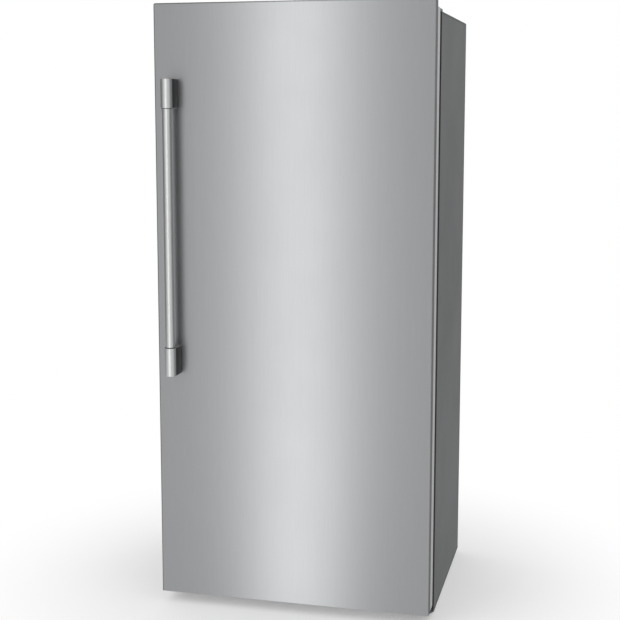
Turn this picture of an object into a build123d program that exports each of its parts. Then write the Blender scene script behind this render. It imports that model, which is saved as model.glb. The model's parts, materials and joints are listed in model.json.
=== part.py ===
# Single-door all-refrigerator, in millimetres. X runs to the right, Y to the back and Z up.
# The origin is on the floor, in the middle of the whole object's width and depth.
import os

from build123d import *

os.makedirs("parts", exist_ok=True)

# Layers from front to back
handle_projection = 64.0
panel_depth = 38.0
shell_depth = 45.0
gasket_gap = 11.0
cabinet_depth = 574.0

# Cabinet
cabinet_width = 838.0
cabinet_top = 1800.0
cabinet_base = 12.0
sheet = 1.2
corner_radius = 6.0
deck_z = 60.0
rail_width = 40.0
rail_sheet = 2.0
machine_depth = 170.0
machine_top = 250.0

# Storage space
side_wall = 50.0
top_wall = 55.0
back_wall = 60.0
floor_wall = 58.0
step_wall = 42.0
liner_skin = 2.5
liner_corner = 16.0
ledge_reach = 14.0
ledge_tall = 10.0

# Door
door_reveal = 3.0
door_bottom = 35.0
panel_rise = 29.0
panel_lip = 18.0
panel_corner = 5.0
foot_corner = 1.5
panel_bend = 2.5
shell_wall = 3.0
shell_corner = 8.0
gasket_edge = 22.0
gasket_band = 18.0
gasket_lift = 49.0
plug_depth = 69.0
plug_wall = 22.0
plug_clearance = 17.0
plug_corner = 26.0

# Hinges
hinge_inset = 20.0
pin_radius = 6.0
pin_reach = 24.0
bush_radius = 9.0
bush_flange = 13.0
hinge_plate = 4.0
hinge_base = (84.0, 86.0)
roof_screw_grid = (52.0, 50.0)
flange_screw_spacing = 32.0
screw_shank = 3.0
screw_head = 5.5
head_tall = 2.5
cover_tall = 11.5
cover_wall = 2.0

# Handle
handle_inset = 54.0
bracket_width = 35.5
bracket_height = 85.0
handle_drop = 219.0
handle_length = 879.0
bar_radius = 14.0
socket_depth = 24.0
stud_radius = 3.0
stud_spacing = 50.0
stud_reach = 15.0

# Shelves and drawers
bay_front = 124.0
shelf_shares = (0.196, 0.3755, 0.555, 0.743)
shelf_side_gap = 21.0
shelf_rim = 20.0
rim_drop = 10.0
pane_inset = 5.0
glass = 4.0
arm_drop = 45.0
arm_sheet = 3.0
track_inset = 148.0
track_width = 16.0
track_depth = 6.0
slot_pitch = 32.0
duct_half = 180.0
duct_depth = 50.0
duct_lift = 40.0
duct_drop = 55.0
tub_wall = 2.5
tub_corner = 14.0
tub_foot = 8.0
fascia = 8.0
grip_tall = 20.0
grip_deep = 3.0
crisper_top = 500.0
crisper_tall = 183.0
crisper_rim = 6.0
lid_thick = 20.0
stem = 3.0
slide_x = 180.0
slide_travel = 12.0
slide_tongue = 8.0
wide_low = 130.0
wide_tall = 162.0
wide_rail_lift = 72.0

# Door storage
bin_heights = (190.0, 480.0, 760.0, 1040.0)
bin_tall = 98.0
bin_deep = 112.0
dairy_drop = 212.0
dairy_tall = 110.0
dairy_deep = 104.0
flap_pin = 3.0

# Running gear
foot_inset = 24.0
foot_back = 33.0
foot_radius = 20.0
foot_pad = 5.0
screw_radius = 5.0
boss_tall = 18.0
roller_radius = 21.0
roller_width = 20.0
roller_inset = 21.0
roller_from_back = 36.0
axle_radius = 4.0

# Cooling machinery
compressor_x = -170.0
compressor_radius = 72.0
compressor_tall = 160.0
mount_tall = 18.0
mount_grid = (130.0, 84.0)
condenser_x = (80.0, 320.0)
condenser_rows = 6
condenser_pitch = 25.0
tube_radius = 3.0
fan_x = 20.0
fan_radius = 68.0
fan_lift = 94.0
evaporator_half = 150.0
evaporator_z = (650.0, 950.0)
evaporator_rows = 7
room_fan_z = 1080.0
room_fan_radius = 48.0

# Controls and lights
control_half = 140.0
control_deep = 140.0
control_tall = 38.0
button_radius = 8.0
button_travel = 1.5
button_pitch = 40.0
button_names = ("warmer", "colder", "boost")
plunger_radius = 3.5
plunger_inset = 69.0
lens = 5.0

# Fits between pieces
running = 0.05
gap = 0.3
loose = 1.0

# Places worked out from the sizes above
back_y = (handle_projection + panel_depth + shell_depth + gasket_gap + cabinet_depth) / 2
face_y = back_y - cabinet_depth
door_back_y = face_y - gasket_gap
panel_back_y = door_back_y - shell_depth
panel_front_y = panel_back_y - panel_depth
half_width = cabinet_width / 2
inner_half = half_width - sheet
room_half = half_width - side_wall
ceiling_z = cabinet_top - top_wall
floor_z = deck_z + floor_wall
room_back = back_y - back_wall
machine_y = back_y - machine_depth
step_y = machine_y - sheet - step_wall
step_z = machine_top + step_wall
opening_half = room_half + liner_skin + gap
door_half = half_width - door_reveal
panel_top = cabinet_top + panel_rise
shell_top = panel_top - panel_lip
hinge_x = door_half - hinge_inset
hinge_y = (panel_back_y + door_back_y) / 2
bay_y = face_y + bay_front
plug_half = room_half - plug_clearance
plug_z = (floor_z + plug_clearance, ceiling_z - plug_clearance - liner_corner)
duct_y = room_back - duct_depth
lid_top = crisper_top + lid_thick
duct_low = lid_top + duct_lift
duct_high = ceiling_z - duct_drop
shelf_heights = [lid_top + share * (ceiling_z - lid_top) for share in shelf_shares]
dairy_low = plug_z[1] - dairy_drop
rail_z = (cabinet_base, deck_z - sheet)
bin_half = plug_half - plug_wall - loose
bin_y = door_back_y + 2 * loose
plunger_x = room_half - plunger_inset
shelf_half = room_half - shelf_side_gap
track_spread = shelf_half - track_inset


def block(x, y, z, mode=Mode.ADD):
    """Add or cut a box, given by its two ends along each axis."""
    with Locations(((x[0] + x[1]) / 2, (y[0] + y[1]) / 2, (z[0] + z[1]) / 2)):
        Box(abs(x[1] - x[0]), y[1] - y[0], z[1] - z[0], mode=mode)


def rod(x, y, z, radius, mode=Mode.ADD):
    """Add or cut a round bar along the axis whose place is given as a pair of ends."""
    if isinstance(x, tuple):
        start, turn, length = (min(x), y, z), (0, 90, 0), abs(x[1] - x[0])
    elif isinstance(y, tuple):
        start, turn, length = (x, y[0], z), (-90, 0, 0), y[1] - y[0]
    else:
        start, turn, length = (x, y, z[0]), (0, 0, 0), z[1] - z[0]
    with Locations(Location(start, turn)):
        Cylinder(radius, length, align=(Align.CENTER, Align.CENTER, Align.MIN), mode=mode)


def front_plane(y):
    """The upright plane at depth y, with the sketch's x along X and its y along Z."""
    return Plane.XZ.offset(-y)


def save(part, name):
    """Label a finished piece and write it as one STEP file."""
    part.label = name
    export_step(part, f"parts/{name}.step")


def slab(half, z, y, low_corner, high_corner, bend=0.0):
    """An upright slab with rounded corners and, where bend is given, a rounded front edge."""
    with BuildPart() as made:
        with BuildSketch(front_plane(y[1])):
            with Locations((0, (z[0] + z[1]) / 2)):
                Rectangle(2 * half, z[1] - z[0])
            fillet(vertices().group_by(Axis.Y)[0], low_corner)
            fillet(vertices().group_by(Axis.Y)[-1], high_corner)
        extrude(amount=y[1] - y[0])
        if bend:
            fillet(made.faces().sort_by(Axis.Y)[0].edges(), bend)
    return made.part


def room(grow):
    """The solid that fills the storage space, with each wall moved outwards by grow."""
    with BuildPart() as made:
        with BuildSketch(Plane.YZ):
            with BuildLine():
                Polyline(
                    (face_y, floor_z - grow),
                    (step_y + grow, floor_z - grow),
                    (step_y + grow, step_z - grow),
                    (room_back + grow, step_z - grow),
                    (room_back + grow, ceiling_z + grow),
                    (face_y, ceiling_z + grow),
                    close=True,
                )
            make_face()
        extrude(amount=room_half + grow, both=True)
        along = made.edges().filter_by(Axis.Y)
        fillet(along.group_by(Axis.Z)[0] + along.group_by(Axis.Z)[-1], liner_corner + grow)
    return made.part


def bowl(middle, half, y, z, inset=0.0):
    """A block with rounded corners and foot, drawn in by inset everywhere but at its top."""
    with BuildPart() as made:
        with BuildSketch(Plane.XY.offset(z[0] + inset)):
            with Locations((middle, (y[0] + y[1]) / 2)):
                RectangleRounded(2 * (half - inset), y[1] - y[0] - 2 * inset, tub_corner - inset)
        extrude(amount=z[1] - z[0] - inset)
        fillet(made.faces().sort_by(Axis.Z)[0].edges(), tub_foot - inset)
    return made.part


def fan(radius, hub, width, bore, place):
    """A five-bladed axial fan with its axis along Z, moved to the place given."""
    with BuildPart() as made:
        Cylinder(hub, width)
        with PolarLocations((hub + radius) / 2, 5):
            with Locations(Rotation(32, 0, 0)):
                Box(radius - hub + 4, (hub + radius) * 0.42, 1.6)
        Cylinder(radius, 4 * width, mode=Mode.INTERSECT)
        Cylinder(bore, 4 * width, mode=Mode.SUBTRACT)
    return place * made.part


def tube(points, bend, radius):
    """A round tube that runs through the points with rounded bends."""
    with BuildPart() as made:
        with BuildLine():
            run = FilletPolyline(*points, radius=bend)
        with BuildSketch(Plane(origin=run @ 0, z_dir=run % 0)):
            Circle(radius)
        sweep(path=run)
    return made.part


def rows_of_tube(x, y, low, pitch, count):
    """The corner points of a tube that goes to and fro along X, one row above the other."""
    points = []
    for row in range(count):
        ends = [(x[0], y, low + pitch * row), (x[1], y, low + pitch * row)]
        points += ends if row % 2 == 0 else ends[::-1]
    return points


# Cabinet casing: one sheet folded over the sides and top, with a flange all round the opening
with BuildPart() as outer_wrapper:
    with BuildSketch(front_plane(back_y)):
        with Locations((0, (cabinet_base + cabinet_top) / 2)):
            Rectangle(cabinet_width, cabinet_top - cabinet_base)
        fillet(vertices().group_by(Axis.Y)[-1], corner_radius)
    extrude(amount=cabinet_depth)
    with BuildSketch(front_plane(back_y)):
        with Locations((0, (cabinet_base + cabinet_top - sheet) / 2)):
            Rectangle(2 * inner_half, cabinet_top - sheet - cabinet_base)
        fillet(vertices().group_by(Axis.Y)[-1], corner_radius - sheet)
    extrude(amount=cabinet_depth - sheet, mode=Mode.SUBTRACT)
    add(room(liner_skin + gap), mode=Mode.SUBTRACT)
    below = floor_z + 2 * liner_corner
    block((-opening_half, opening_half), (face_y, back_y), (cabinet_base, below), Mode.SUBTRACT)
    block((-inner_half, inner_half), (face_y, back_y), (cabinet_base, rail_z[1]), Mode.SUBTRACT)
save(outer_wrapper.part, "outer_wrapper")

with BuildPart() as rear_panel:
    block((-inner_half, inner_half), (back_y - sheet, back_y), (machine_top, cabinet_top - sheet))
    fillet(rear_panel.edges().filter_by(Axis.Y).group_by(Axis.Z)[-1], corner_radius - sheet)
save(rear_panel.part, "rear_panel")

# Base deck: the front rail, the floor sheet, and the front and roof of the machine space
rail_top = floor_z - liner_skin - gap
with BuildPart() as base_deck:
    block((-opening_half + gap, opening_half - gap), (face_y, face_y + sheet), (rail_z[1], rail_top))
    block((-opening_half + gap, opening_half - gap), (face_y, machine_y), (rail_z[1], deck_z))
    block((-inner_half, inner_half), (face_y + sheet + gap, machine_y), (rail_z[1], deck_z))
    block((-inner_half, inner_half), (machine_y - sheet, machine_y), (rail_z[1], machine_top))
    block((-inner_half, inner_half), (machine_y - sheet, back_y), (machine_top - sheet, machine_top))
save(base_deck.part, "base_deck")

with BuildPart() as cabinet_foam:
    with BuildSketch(Plane.YZ):
        with BuildLine():
            Polyline(
                (face_y + sheet, deck_z),
                (machine_y - sheet, deck_z),
                (machine_y - sheet, machine_top),
                (back_y - sheet, machine_top),
                (back_y - sheet, cabinet_top - sheet),
                (face_y + sheet, cabinet_top - sheet),
                close=True,
            )
        make_face()
    extrude(amount=inner_half, both=True)
    fillet(cabinet_foam.edges().filter_by(Axis.Y).group_by(Axis.Z)[-1], corner_radius - sheet)
    add(room(liner_skin), mode=Mode.SUBTRACT)
save(cabinet_foam.part, "cabinet_foam")

with BuildPart() as inner_liner:
    add(room(liner_skin))
    add(room(0), mode=Mode.SUBTRACT)
    for side in (-1, 1):
        ledge_x = (side * (room_half - ledge_reach), side * (room_half + liner_skin))
        block(ledge_x, (bay_y + fascia, room_back), (crisper_top - ledge_tall, crisper_top))
save(inner_liner.part, "inner_liner")

# Base rails: a channel each side, with the foot's nut and the roller's inner plate
foot_x = inner_half - foot_inset
foot_y = face_y + foot_back
roller_x = inner_half - roller_inset
roller_y = back_y - roller_from_back
axle_end = roller_x - roller_width / 2 - 5
axle_plate = axle_end + rail_sheet
with BuildPart() as base_rails:
    for side in (-1, 1):
        outer, web, lip = side * inner_half, side * (inner_half - rail_sheet), side * (inner_half - rail_width)
        run = (face_y + sheet + gap, back_y - sheet)
        block((outer, web), run, rail_z)
        block((outer, lip), run, (rail_z[0], rail_z[0] + rail_sheet))
        block((outer, lip), run, (rail_z[1] - rail_sheet, rail_z[1]))
        rod(side * foot_x, foot_y, (rail_z[0], rail_z[0] + boss_tall), screw_radius + 6)
        rod(side * foot_x, foot_y, (rail_z[0], rail_z[0] + boss_tall), screw_radius + running, Mode.SUBTRACT)
        block((side * axle_end, side * axle_plate), (roller_y - 15, roller_y + 15), rail_z)
        slot_x = (side * (roller_x - roller_width / 2 - 2), side * (roller_x + roller_width / 2 + 2))
        slot_z = (rail_z[0], rail_z[0] + rail_sheet)
        block(slot_x, (roller_y - roller_radius - 2, roller_y + roller_radius + 2), slot_z, Mode.SUBTRACT)
        rod((side * axle_end, outer), roller_y, roller_radius, axle_radius, Mode.SUBTRACT)
save(base_rails.part, "base_rails")

with BuildPart() as roller_axles:
    for side in (-1, 1):
        rod((side * axle_end, side * inner_half), roller_y, roller_radius, axle_radius)
        rod((side * (axle_end - 3), side * axle_end), roller_y, roller_radius, axle_radius + 3)
save(roller_axles.part, "roller_axles")

for side, name in ((-1, "left"), (1, "right")):
    with BuildPart() as foot:
        rod(side * foot_x, foot_y, (0, foot_pad), foot_radius)
        chamfer(foot.edges().group_by(Axis.Z)[-1], 1.5)
        with BuildSketch(Plane.XY.offset(foot_pad)):
            with Locations((side * foot_x, foot_y)):
                RegularPolygon(9.5, 6)
        extrude(amount=cabinet_base - foot_pad - loose)
        rod(side * foot_x, foot_y, (foot_pad, rail_z[1] - 15), screw_radius)
    save(foot.part, f"foot_{name}")

    with BuildPart() as roller:
        rim = (side * (roller_x - roller_width / 2), side * (roller_x + roller_width / 2))
        hub = (side * (axle_plate + gap), side * (inner_half - rail_sheet - gap))
        rod(rim, roller_y, roller_radius, roller_radius)
        fillet(roller.edges().filter_by(GeomType.CIRCLE), 2)
        rod(hub, roller_y, roller_radius, axle_radius + 2.5)
        rod(hub, roller_y, roller_radius, axle_radius + running, Mode.SUBTRACT)
    save(roller.part, f"roller_{name}")

grille_half = inner_half - rail_width - 4
grille_y = (face_y + 3, face_y + 7)
with BuildPart() as toe_grille:
    block((-grille_half, grille_half), grille_y, (rail_z[0] + 4, rail_z[1]))
    with BuildSketch(front_plane(grille_y[1])):
        with Locations((0, (rail_z[0] + 4 + rail_z[1]) / 2)):
            with GridLocations(36, 12, int(grille_half / 18), 3):
                SlotOverall(30, 6)
    extrude(amount=grille_y[1] - grille_y[0], mode=Mode.SUBTRACT)
save(toe_grille.part, "toe_grille")

# Hinges: a stepped bracket on the roof and a plate under the door, each with its pin
arm_z = (shell_top + 1.5, shell_top + 1.5 + hinge_plate)
arm_x = (hinge_x - 20, hinge_x + 10)
riser_y = (face_y + 2, face_y + 2 + hinge_plate)
base_x = (arm_x[1] - hinge_base[0], arm_x[1])
base_y = (riser_y[0], riser_y[0] + hinge_base[1])
roof_screws = ((base_x[0] + base_x[1]) / 2, (riser_y[1] + base_y[1]) / 2 + 3, cabinet_top)
with BuildPart() as top_hinge:
    rod(hinge_x, hinge_y, arm_z, 14)
    block(arm_x, (hinge_y, riser_y[1]), arm_z)
    block(arm_x, riser_y, (cabinet_top, arm_z[1]))
    block(base_x, base_y, (cabinet_top, cabinet_top + hinge_plate))
    rod(hinge_x, hinge_y, (shell_top - pin_reach, arm_z[0]), pin_radius)
    with Locations(roof_screws):
        with GridLocations(*roof_screw_grid, 2, 2):
            Cylinder(screw_shank, 2 * hinge_plate, mode=Mode.SUBTRACT)
save(top_hinge.part, "top_hinge")

under_z = (door_bottom - 15, door_bottom - 9)
flange_x = (hinge_x - 66, hinge_x + 18)
flange_y = (face_y - 3, face_y)
flange_screws = (hinge_x - 52, hinge_x - 52 + flange_screw_spacing)
flange_screw_z = deck_z + 8
with BuildPart() as bottom_hinge:
    rod(hinge_x, hinge_y, under_z, 16)
    block(flange_x, (hinge_y, face_y), under_z)
    block(flange_x, flange_y, (under_z[0], deck_z + 20))
    rod(hinge_x, hinge_y, (under_z[0], door_bottom + pin_reach), pin_radius)
    rod(hinge_x, hinge_y, (under_z[1], door_bottom - 2 - gap), 14)
    for x in flange_screws:
        rod(x, flange_y, flange_screw_z, screw_shank, Mode.SUBTRACT)
save(bottom_hinge.part, "bottom_hinge")

with BuildPart() as hinge_screws:
    with Locations(roof_screws):
        with GridLocations(*roof_screw_grid, 2, 2):
            Cylinder(screw_shank, hinge_plate, align=(Align.CENTER, Align.CENTER, Align.MIN))
            with Locations((0, 0, hinge_plate)):
                Cylinder(screw_head, head_tall, align=(Align.CENTER, Align.CENTER, Align.MIN))
    for x in flange_screws:
        rod(x, flange_y, flange_screw_z, screw_shank)
        rod(x, (flange_y[0] - head_tall, flange_y[0]), flange_screw_z, screw_head)
save(hinge_screws.part, "hinge_screws")

cover_x = (base_x[0] - 4, base_x[1] + 3)
cover_y = (riser_y[1] + gap, base_y[1] + 6)
cover_middle = ((cover_x[0] + cover_x[1]) / 2, (cover_y[0] + cover_y[1]) / 2)
cover_size = (cover_x[1] - cover_x[0], cover_y[1] - cover_y[0])
with BuildPart() as hinge_cover:
    with BuildSketch(Plane.XY.offset(cabinet_top)):
        with Locations(cover_middle):
            RectangleRounded(*cover_size, 8)
    extrude(amount=cover_tall)
    fillet(hinge_cover.faces().sort_by(Axis.Z)[-1].edges(), 4)
    with BuildSketch(Plane.XY.offset(cabinet_top)):
        with Locations(cover_middle):
            RectangleRounded(cover_size[0] - 2 * cover_wall, cover_size[1] - 2 * cover_wall, 8 - cover_wall)
    extrude(amount=cover_tall - cover_wall, mode=Mode.SUBTRACT)
    notch_z = (cabinet_top, cabinet_top + hinge_plate + gap)
    block((base_x[0] - gap, base_x[1] + gap), (cover_y[0], cover_y[0] + 12), notch_z, Mode.SUBTRACT)
save(hinge_cover.part, "hinge_cover")

# Door: a steel tray in front, a frame behind it, foam inside both and a liner with the plug
handle_x = -door_half + handle_inset
handle_low = panel_top - handle_drop - handle_length
bracket_mids = (handle_low + bracket_height / 2, handle_low + handle_length - bracket_height / 2)
stud_rows = [z + side * stud_spacing / 2 for z in bracket_mids for side in (-1, 1)]
tray_y = (panel_front_y, panel_back_y)
tray_skin = slab(door_half, (door_bottom, panel_top), tray_y, foot_corner, panel_corner, panel_bend)
tray_core = slab(
    door_half - sheet,
    (door_bottom + sheet, panel_top - sheet),
    (panel_front_y + sheet, panel_back_y),
    foot_corner,
    panel_corner - sheet,
    panel_bend - sheet,
)
with BuildPart() as door_panel:
    add(tray_skin)
    add(tray_core, mode=Mode.SUBTRACT)
    for z in stud_rows:
        rod(handle_x, (panel_front_y, panel_front_y + sheet), z, stud_radius, Mode.SUBTRACT)
save(door_panel.part, "door_panel")

shell_y = (panel_back_y, door_back_y)
shell_skin = slab(door_half, (door_bottom, shell_top), shell_y, foot_corner, shell_corner)
shell_core = slab(
    door_half - shell_wall,
    (door_bottom + shell_wall, shell_top - shell_wall),
    shell_y,
    foot_corner,
    shell_corner - shell_wall,
)
cap_z = (shell_top - 2 * shell_corner, panel_top - sheet)
lip_cap = slab(door_half - sheet, cap_z, (panel_back_y, panel_back_y + 2), foot_corner, panel_corner - sheet)
bushes = ((door_bottom, door_bottom + pin_reach + 4), (shell_top - pin_reach - 4, shell_top))
with BuildPart() as door_shell:
    add(shell_skin)
    add(lip_cap)
    add(shell_core, mode=Mode.SUBTRACT)
    for z in bushes:
        rod(hinge_x, hinge_y, z, bush_radius, Mode.SUBTRACT)
save(door_shell.part, "door_shell")

liner_plate = (door_back_y - liner_skin, door_back_y)
with BuildPart() as door_foam:
    add(tray_core)
    add(shell_core)
    block((-door_half, door_half), liner_plate, (door_bottom, shell_top), Mode.SUBTRACT)
    for z in bushes:
        rod(hinge_x, hinge_y, z, bush_radius, Mode.SUBTRACT)
    for z in stud_rows:
        rod(handle_x, (panel_front_y, panel_front_y + stud_reach), z, stud_radius + 5, Mode.SUBTRACT)
save(door_foam.part, "door_foam")

plug_y = (door_back_y, door_back_y + plug_depth)
pocket_z = (plug_z[0] + plug_wall, plug_z[1] - plug_wall)
with BuildPart() as door_liner:
    add(slab(plug_half, plug_z, plug_y, plug_corner, plug_corner))
    fillet(door_liner.faces().sort_by(Axis.Y)[-1].edges(), 6)
    add(slab(plug_half - plug_wall, pocket_z, plug_y, liner_corner, liner_corner), mode=Mode.SUBTRACT)
    add(shell_core)
    block((-door_half, door_half), (panel_back_y, liner_plate[0]), (door_bottom, shell_top), Mode.SUBTRACT)
    for z in (*bin_heights, dairy_low):
        for side in (-1, 1):
            rest_x = (side * (bin_half + loose - ledge_reach), side * (bin_half + loose))
            block(rest_x, (door_back_y, door_back_y + bin_deep / 2), (z - ledge_tall, z))
save(door_liner.part, "door_liner")

gasket_half = door_half - gasket_edge
gasket_z = (door_bottom + gasket_lift, cabinet_top - gasket_band)
gasket_tall = gasket_z[1] - gasket_z[0]
with BuildPart() as door_gasket:
    with BuildSketch(front_plane(face_y - gap)):
        with Locations((0, (gasket_z[0] + gasket_z[1]) / 2)):
            RectangleRounded(2 * gasket_half, gasket_tall, 6)
            inner_size = (2 * (gasket_half - gasket_band), gasket_tall - 2 * gasket_band)
            RectangleRounded(*inner_size, 4, mode=Mode.SUBTRACT)
    extrude(amount=gasket_gap - gap)
    fillet(door_gasket.faces().sort_by(Axis.Y)[-1].edges(), 2)
save(door_gasket.part, "door_gasket")

with BuildPart() as hinge_bushes:
    rod(hinge_x, hinge_y, bushes[0], bush_radius)
    rod(hinge_x, hinge_y, (door_bottom - 2, door_bottom), bush_flange)
    rod(hinge_x, hinge_y, bushes[1], bush_radius)
    rod(hinge_x, hinge_y, (shell_top, shell_top + 1), bush_flange)
    bore = pin_radius + running
    rod(hinge_x, hinge_y, (door_bottom - 2, door_bottom + pin_reach + 1), bore, Mode.SUBTRACT)
    rod(hinge_x, hinge_y, (shell_top - pin_reach - 1, shell_top + 1), bore, Mode.SUBTRACT)
save(hinge_bushes.part, "hinge_bushes")

# Handle: a round bar in two brackets that are round in front and flat at the door
bar_y = panel_front_y - handle_projection + bracket_width / 2
brackets = [(middle - bracket_height / 2, middle + bracket_height / 2) for middle in bracket_mids]
bar_z = (brackets[0][1] - socket_depth, brackets[1][0] + socket_depth)
with BuildPart() as handle_bar:
    rod(handle_x, bar_y, bar_z, bar_radius)
save(handle_bar.part, "handle_bar")

with BuildPart() as handle_brackets:
    for z in brackets:
        rod(handle_x, bar_y, z, bracket_width / 2)
        block((handle_x - bracket_width / 2, handle_x + bracket_width / 2), (bar_y, panel_front_y), z)
    flat_ends = handle_brackets.faces().filter_by(Axis.Z)
    fillet(flat_ends.edges().filter_by(lambda edge: edge.center().Y < panel_front_y - loose), 1.2)
    rod(handle_x, bar_y, bar_z, bar_radius, Mode.SUBTRACT)
    for z in stud_rows:
        rod(handle_x, (panel_front_y - stud_reach, panel_front_y), z, stud_radius, Mode.SUBTRACT)
save(handle_brackets.part, "handle_brackets")

with BuildPart() as handle_studs:
    for z in stud_rows:
        rod(handle_x, (panel_front_y - stud_reach, panel_front_y + stud_reach), z, stud_radius)
        rod(handle_x, (panel_front_y + sheet, panel_front_y + 7), z, stud_radius + 4)
save(handle_studs.part, "handle_studs")

# Door storage: lift-off bins on the liner's ledges, and a covered box with a flap
with BuildPart() as door_bins:
    for z in bin_heights:
        add(bowl(0, bin_half, (bin_y, bin_y + bin_deep), (z, z + bin_tall)))
        add(bowl(0, bin_half, (bin_y, bin_y + bin_deep), (z, z + bin_tall), tub_wall), mode=Mode.SUBTRACT)
save(door_bins.part, "door_bins")

dairy_y = (bin_y, bin_y + dairy_deep)
dairy_z = (dairy_low, dairy_low + dairy_tall)
dairy_inner = bin_half - tub_wall
flap_axis = (dairy_y[1] - 8, dairy_z[1] - 8)
with BuildPart() as dairy_box:
    block((-bin_half, bin_half), dairy_y, dairy_z)
    fillet(dairy_box.edges().filter_by(Axis.X), 3)
    hollow_z = (dairy_z[0] + tub_wall, dairy_z[1] - tub_wall)
    block((-dairy_inner, dairy_inner), (dairy_y[0] + tub_wall, dairy_y[1]), hollow_z, Mode.SUBTRACT)
    mouth_z = (dairy_z[0] + dairy_tall / 2, dairy_z[1])
    block((-dairy_inner, dairy_inner), (flap_axis[0] - 12, dairy_y[1]), mouth_z, Mode.SUBTRACT)
    rod((-bin_half, bin_half), *flap_axis, flap_pin + running, Mode.SUBTRACT)
save(dairy_box.part, "dairy_box")

flap_half = dairy_inner - 2 * gap
flap_y = (flap_axis[0] + 2, flap_axis[0] + 5)
flap_foot = dairy_z[0] + tub_wall + loose
with BuildPart() as dairy_flap:
    rod((-flap_half, flap_half), *flap_axis, flap_pin + 2)
    rod((-bin_half + gap, bin_half - gap), *flap_axis, flap_pin)
    block((-flap_half, flap_half), flap_y, (flap_foot, flap_axis[1]))
    block((-60, 60), (flap_y[0], flap_y[1] + 6), (flap_foot, flap_foot + 6))
save(dairy_flap.part, "dairy_flap")

# Air duct, cooling coil and fan on the back wall
with BuildPart() as duct_cover:
    block((-duct_half, duct_half), (duct_y, room_back), (duct_low, duct_high))
    fillet(duct_cover.faces().sort_by(Axis.Y)[0].edges(), 8)
    offset(amount=-tub_wall, openings=duct_cover.faces().sort_by(Axis.Y)[-1])
    with BuildSketch(front_plane(duct_y + tub_wall)):
        with Locations((0, (duct_low + duct_high) / 2)):
            with GridLocations(220, 110, 2, 9):
                with GridLocations(0, 14, 1, 3):
                    SlotOverall(70, 6)
    extrude(amount=tub_wall, mode=Mode.SUBTRACT)
save(duct_cover.part, "duct_cover")

fin_y = (duct_y + 12, room_back - 4)
coil_y = (fin_y[0] + fin_y[1]) / 2
coil_pitch = (evaporator_z[1] - evaporator_z[0]) / evaporator_rows
with BuildPart() as evaporator_coil:
    with Locations((0, coil_y, (evaporator_z[0] + evaporator_z[1]) / 2)):
        with GridLocations(24, 0, 12, 1):
            Box(1, fin_y[1] - fin_y[0], evaporator_z[1] - evaporator_z[0])
    coil_low = evaporator_z[0] + coil_pitch / 2
    ends = (-evaporator_half, evaporator_half)
    points = rows_of_tube(ends, coil_y, coil_low, coil_pitch, evaporator_rows)
    add(tube(points, coil_pitch * 0.49, tube_radius + 1))
    for x in (-132, 132):
        block((x - 6, x + 6), (fin_y[1] - 2, room_back), (evaporator_z[0] + 20, evaporator_z[0] + 50))
save(evaporator_coil.part, "evaporator_coil")

room_fan_y = (duct_y + room_back) / 2 - 4
with BuildPart() as room_fan_motor:
    rod(0, (room_fan_y + 11, room_back), room_fan_z, 18)
    block((-58, 58), (room_back - 4, room_back), (room_fan_z - 10, room_fan_z + 10))
    rod(0, (room_fan_y - 9, room_fan_y + 11), room_fan_z, 2)
save(room_fan_motor.part, "room_fan_motor")

with BuildPart() as room_fan:
    add(fan(room_fan_radius, 13, 14, 2 + running, Location((0, room_fan_y, room_fan_z), (90, 0, 0))))
save(room_fan.part, "room_fan")

# Controls and lights
control_y = (bay_y + 4, bay_y + 4 + control_deep)
control_z = (ceiling_z - control_tall, ceiling_z)
button_z = ceiling_z - 21
button_stop = control_y[0] + 14
button_places = [(index - 1) * button_pitch for index in range(len(button_names))]
with BuildPart() as control_housing:
    block((-control_half, control_half), control_y, control_z)
    fillet(control_housing.faces().sort_by(Axis.Z)[0].edges(), 6)
    offset(amount=-tub_wall, openings=control_housing.faces().sort_by(Axis.Z)[-1])
    for x in button_places:
        rod(x, (control_y[0], control_y[0] + tub_wall), button_z, button_radius + gap, Mode.SUBTRACT)
        rod(x, (button_stop, button_stop + 6), button_z, button_radius - 3)
    block((-90, 90), (button_stop + 6, button_stop + 9), (control_z[0] + tub_wall, ceiling_z))
save(control_housing.part, "control_housing")

for x, name in zip(button_places, button_names):
    with BuildPart() as button:
        rod(x, (control_y[0] - 3, button_stop - button_travel - gap), button_z, button_radius)
        fillet(button.faces().sort_by(Axis.Y)[0].edges(), 1.5)
        collar_y = control_y[0] + tub_wall + gap
        rod(x, (collar_y, collar_y + 2), button_z, button_radius + 1.5)
    save(button.part, f"button_{name}")

with BuildPart() as light_lenses:
    block((-100, 100), (control_y[1] + 20, control_y[1] + 110), (ceiling_z - lens, ceiling_z))
    fillet(light_lenses.faces().sort_by(Axis.Z)[0].edges(), 3)
    for side in (-1, 1):
        lens_x = (side * (room_half - lens), side * room_half)
        block(lens_x, (face_y + 62, face_y + 80), (duct_low + 140, duct_high - 90))
save(light_lenses.part, "light_lenses")

switch_y = (face_y + 4, face_y + 34)
plunger_y = (door_back_y + gap, switch_y[1] - 6 - gap)
plunger_z = ceiling_z - 9
with BuildPart() as switch_housing:
    block((plunger_x - 14, plunger_x + 14), switch_y, (ceiling_z - 18, ceiling_z))
    fillet(switch_housing.edges().filter_by(Axis.Y).group_by(Axis.Z)[0], 3)
    rod(plunger_x, (switch_y[0], switch_y[1] - 6), plunger_z, plunger_radius + running, Mode.SUBTRACT)
save(switch_housing.part, "switch_housing")

with BuildPart() as switch_plunger:
    rod(plunger_x, plunger_y, plunger_z, plunger_radius)
    fillet(switch_plunger.faces().sort_by(Axis.Y)[0].edges(), 2)
save(switch_plunger.part, "switch_plunger")

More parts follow.
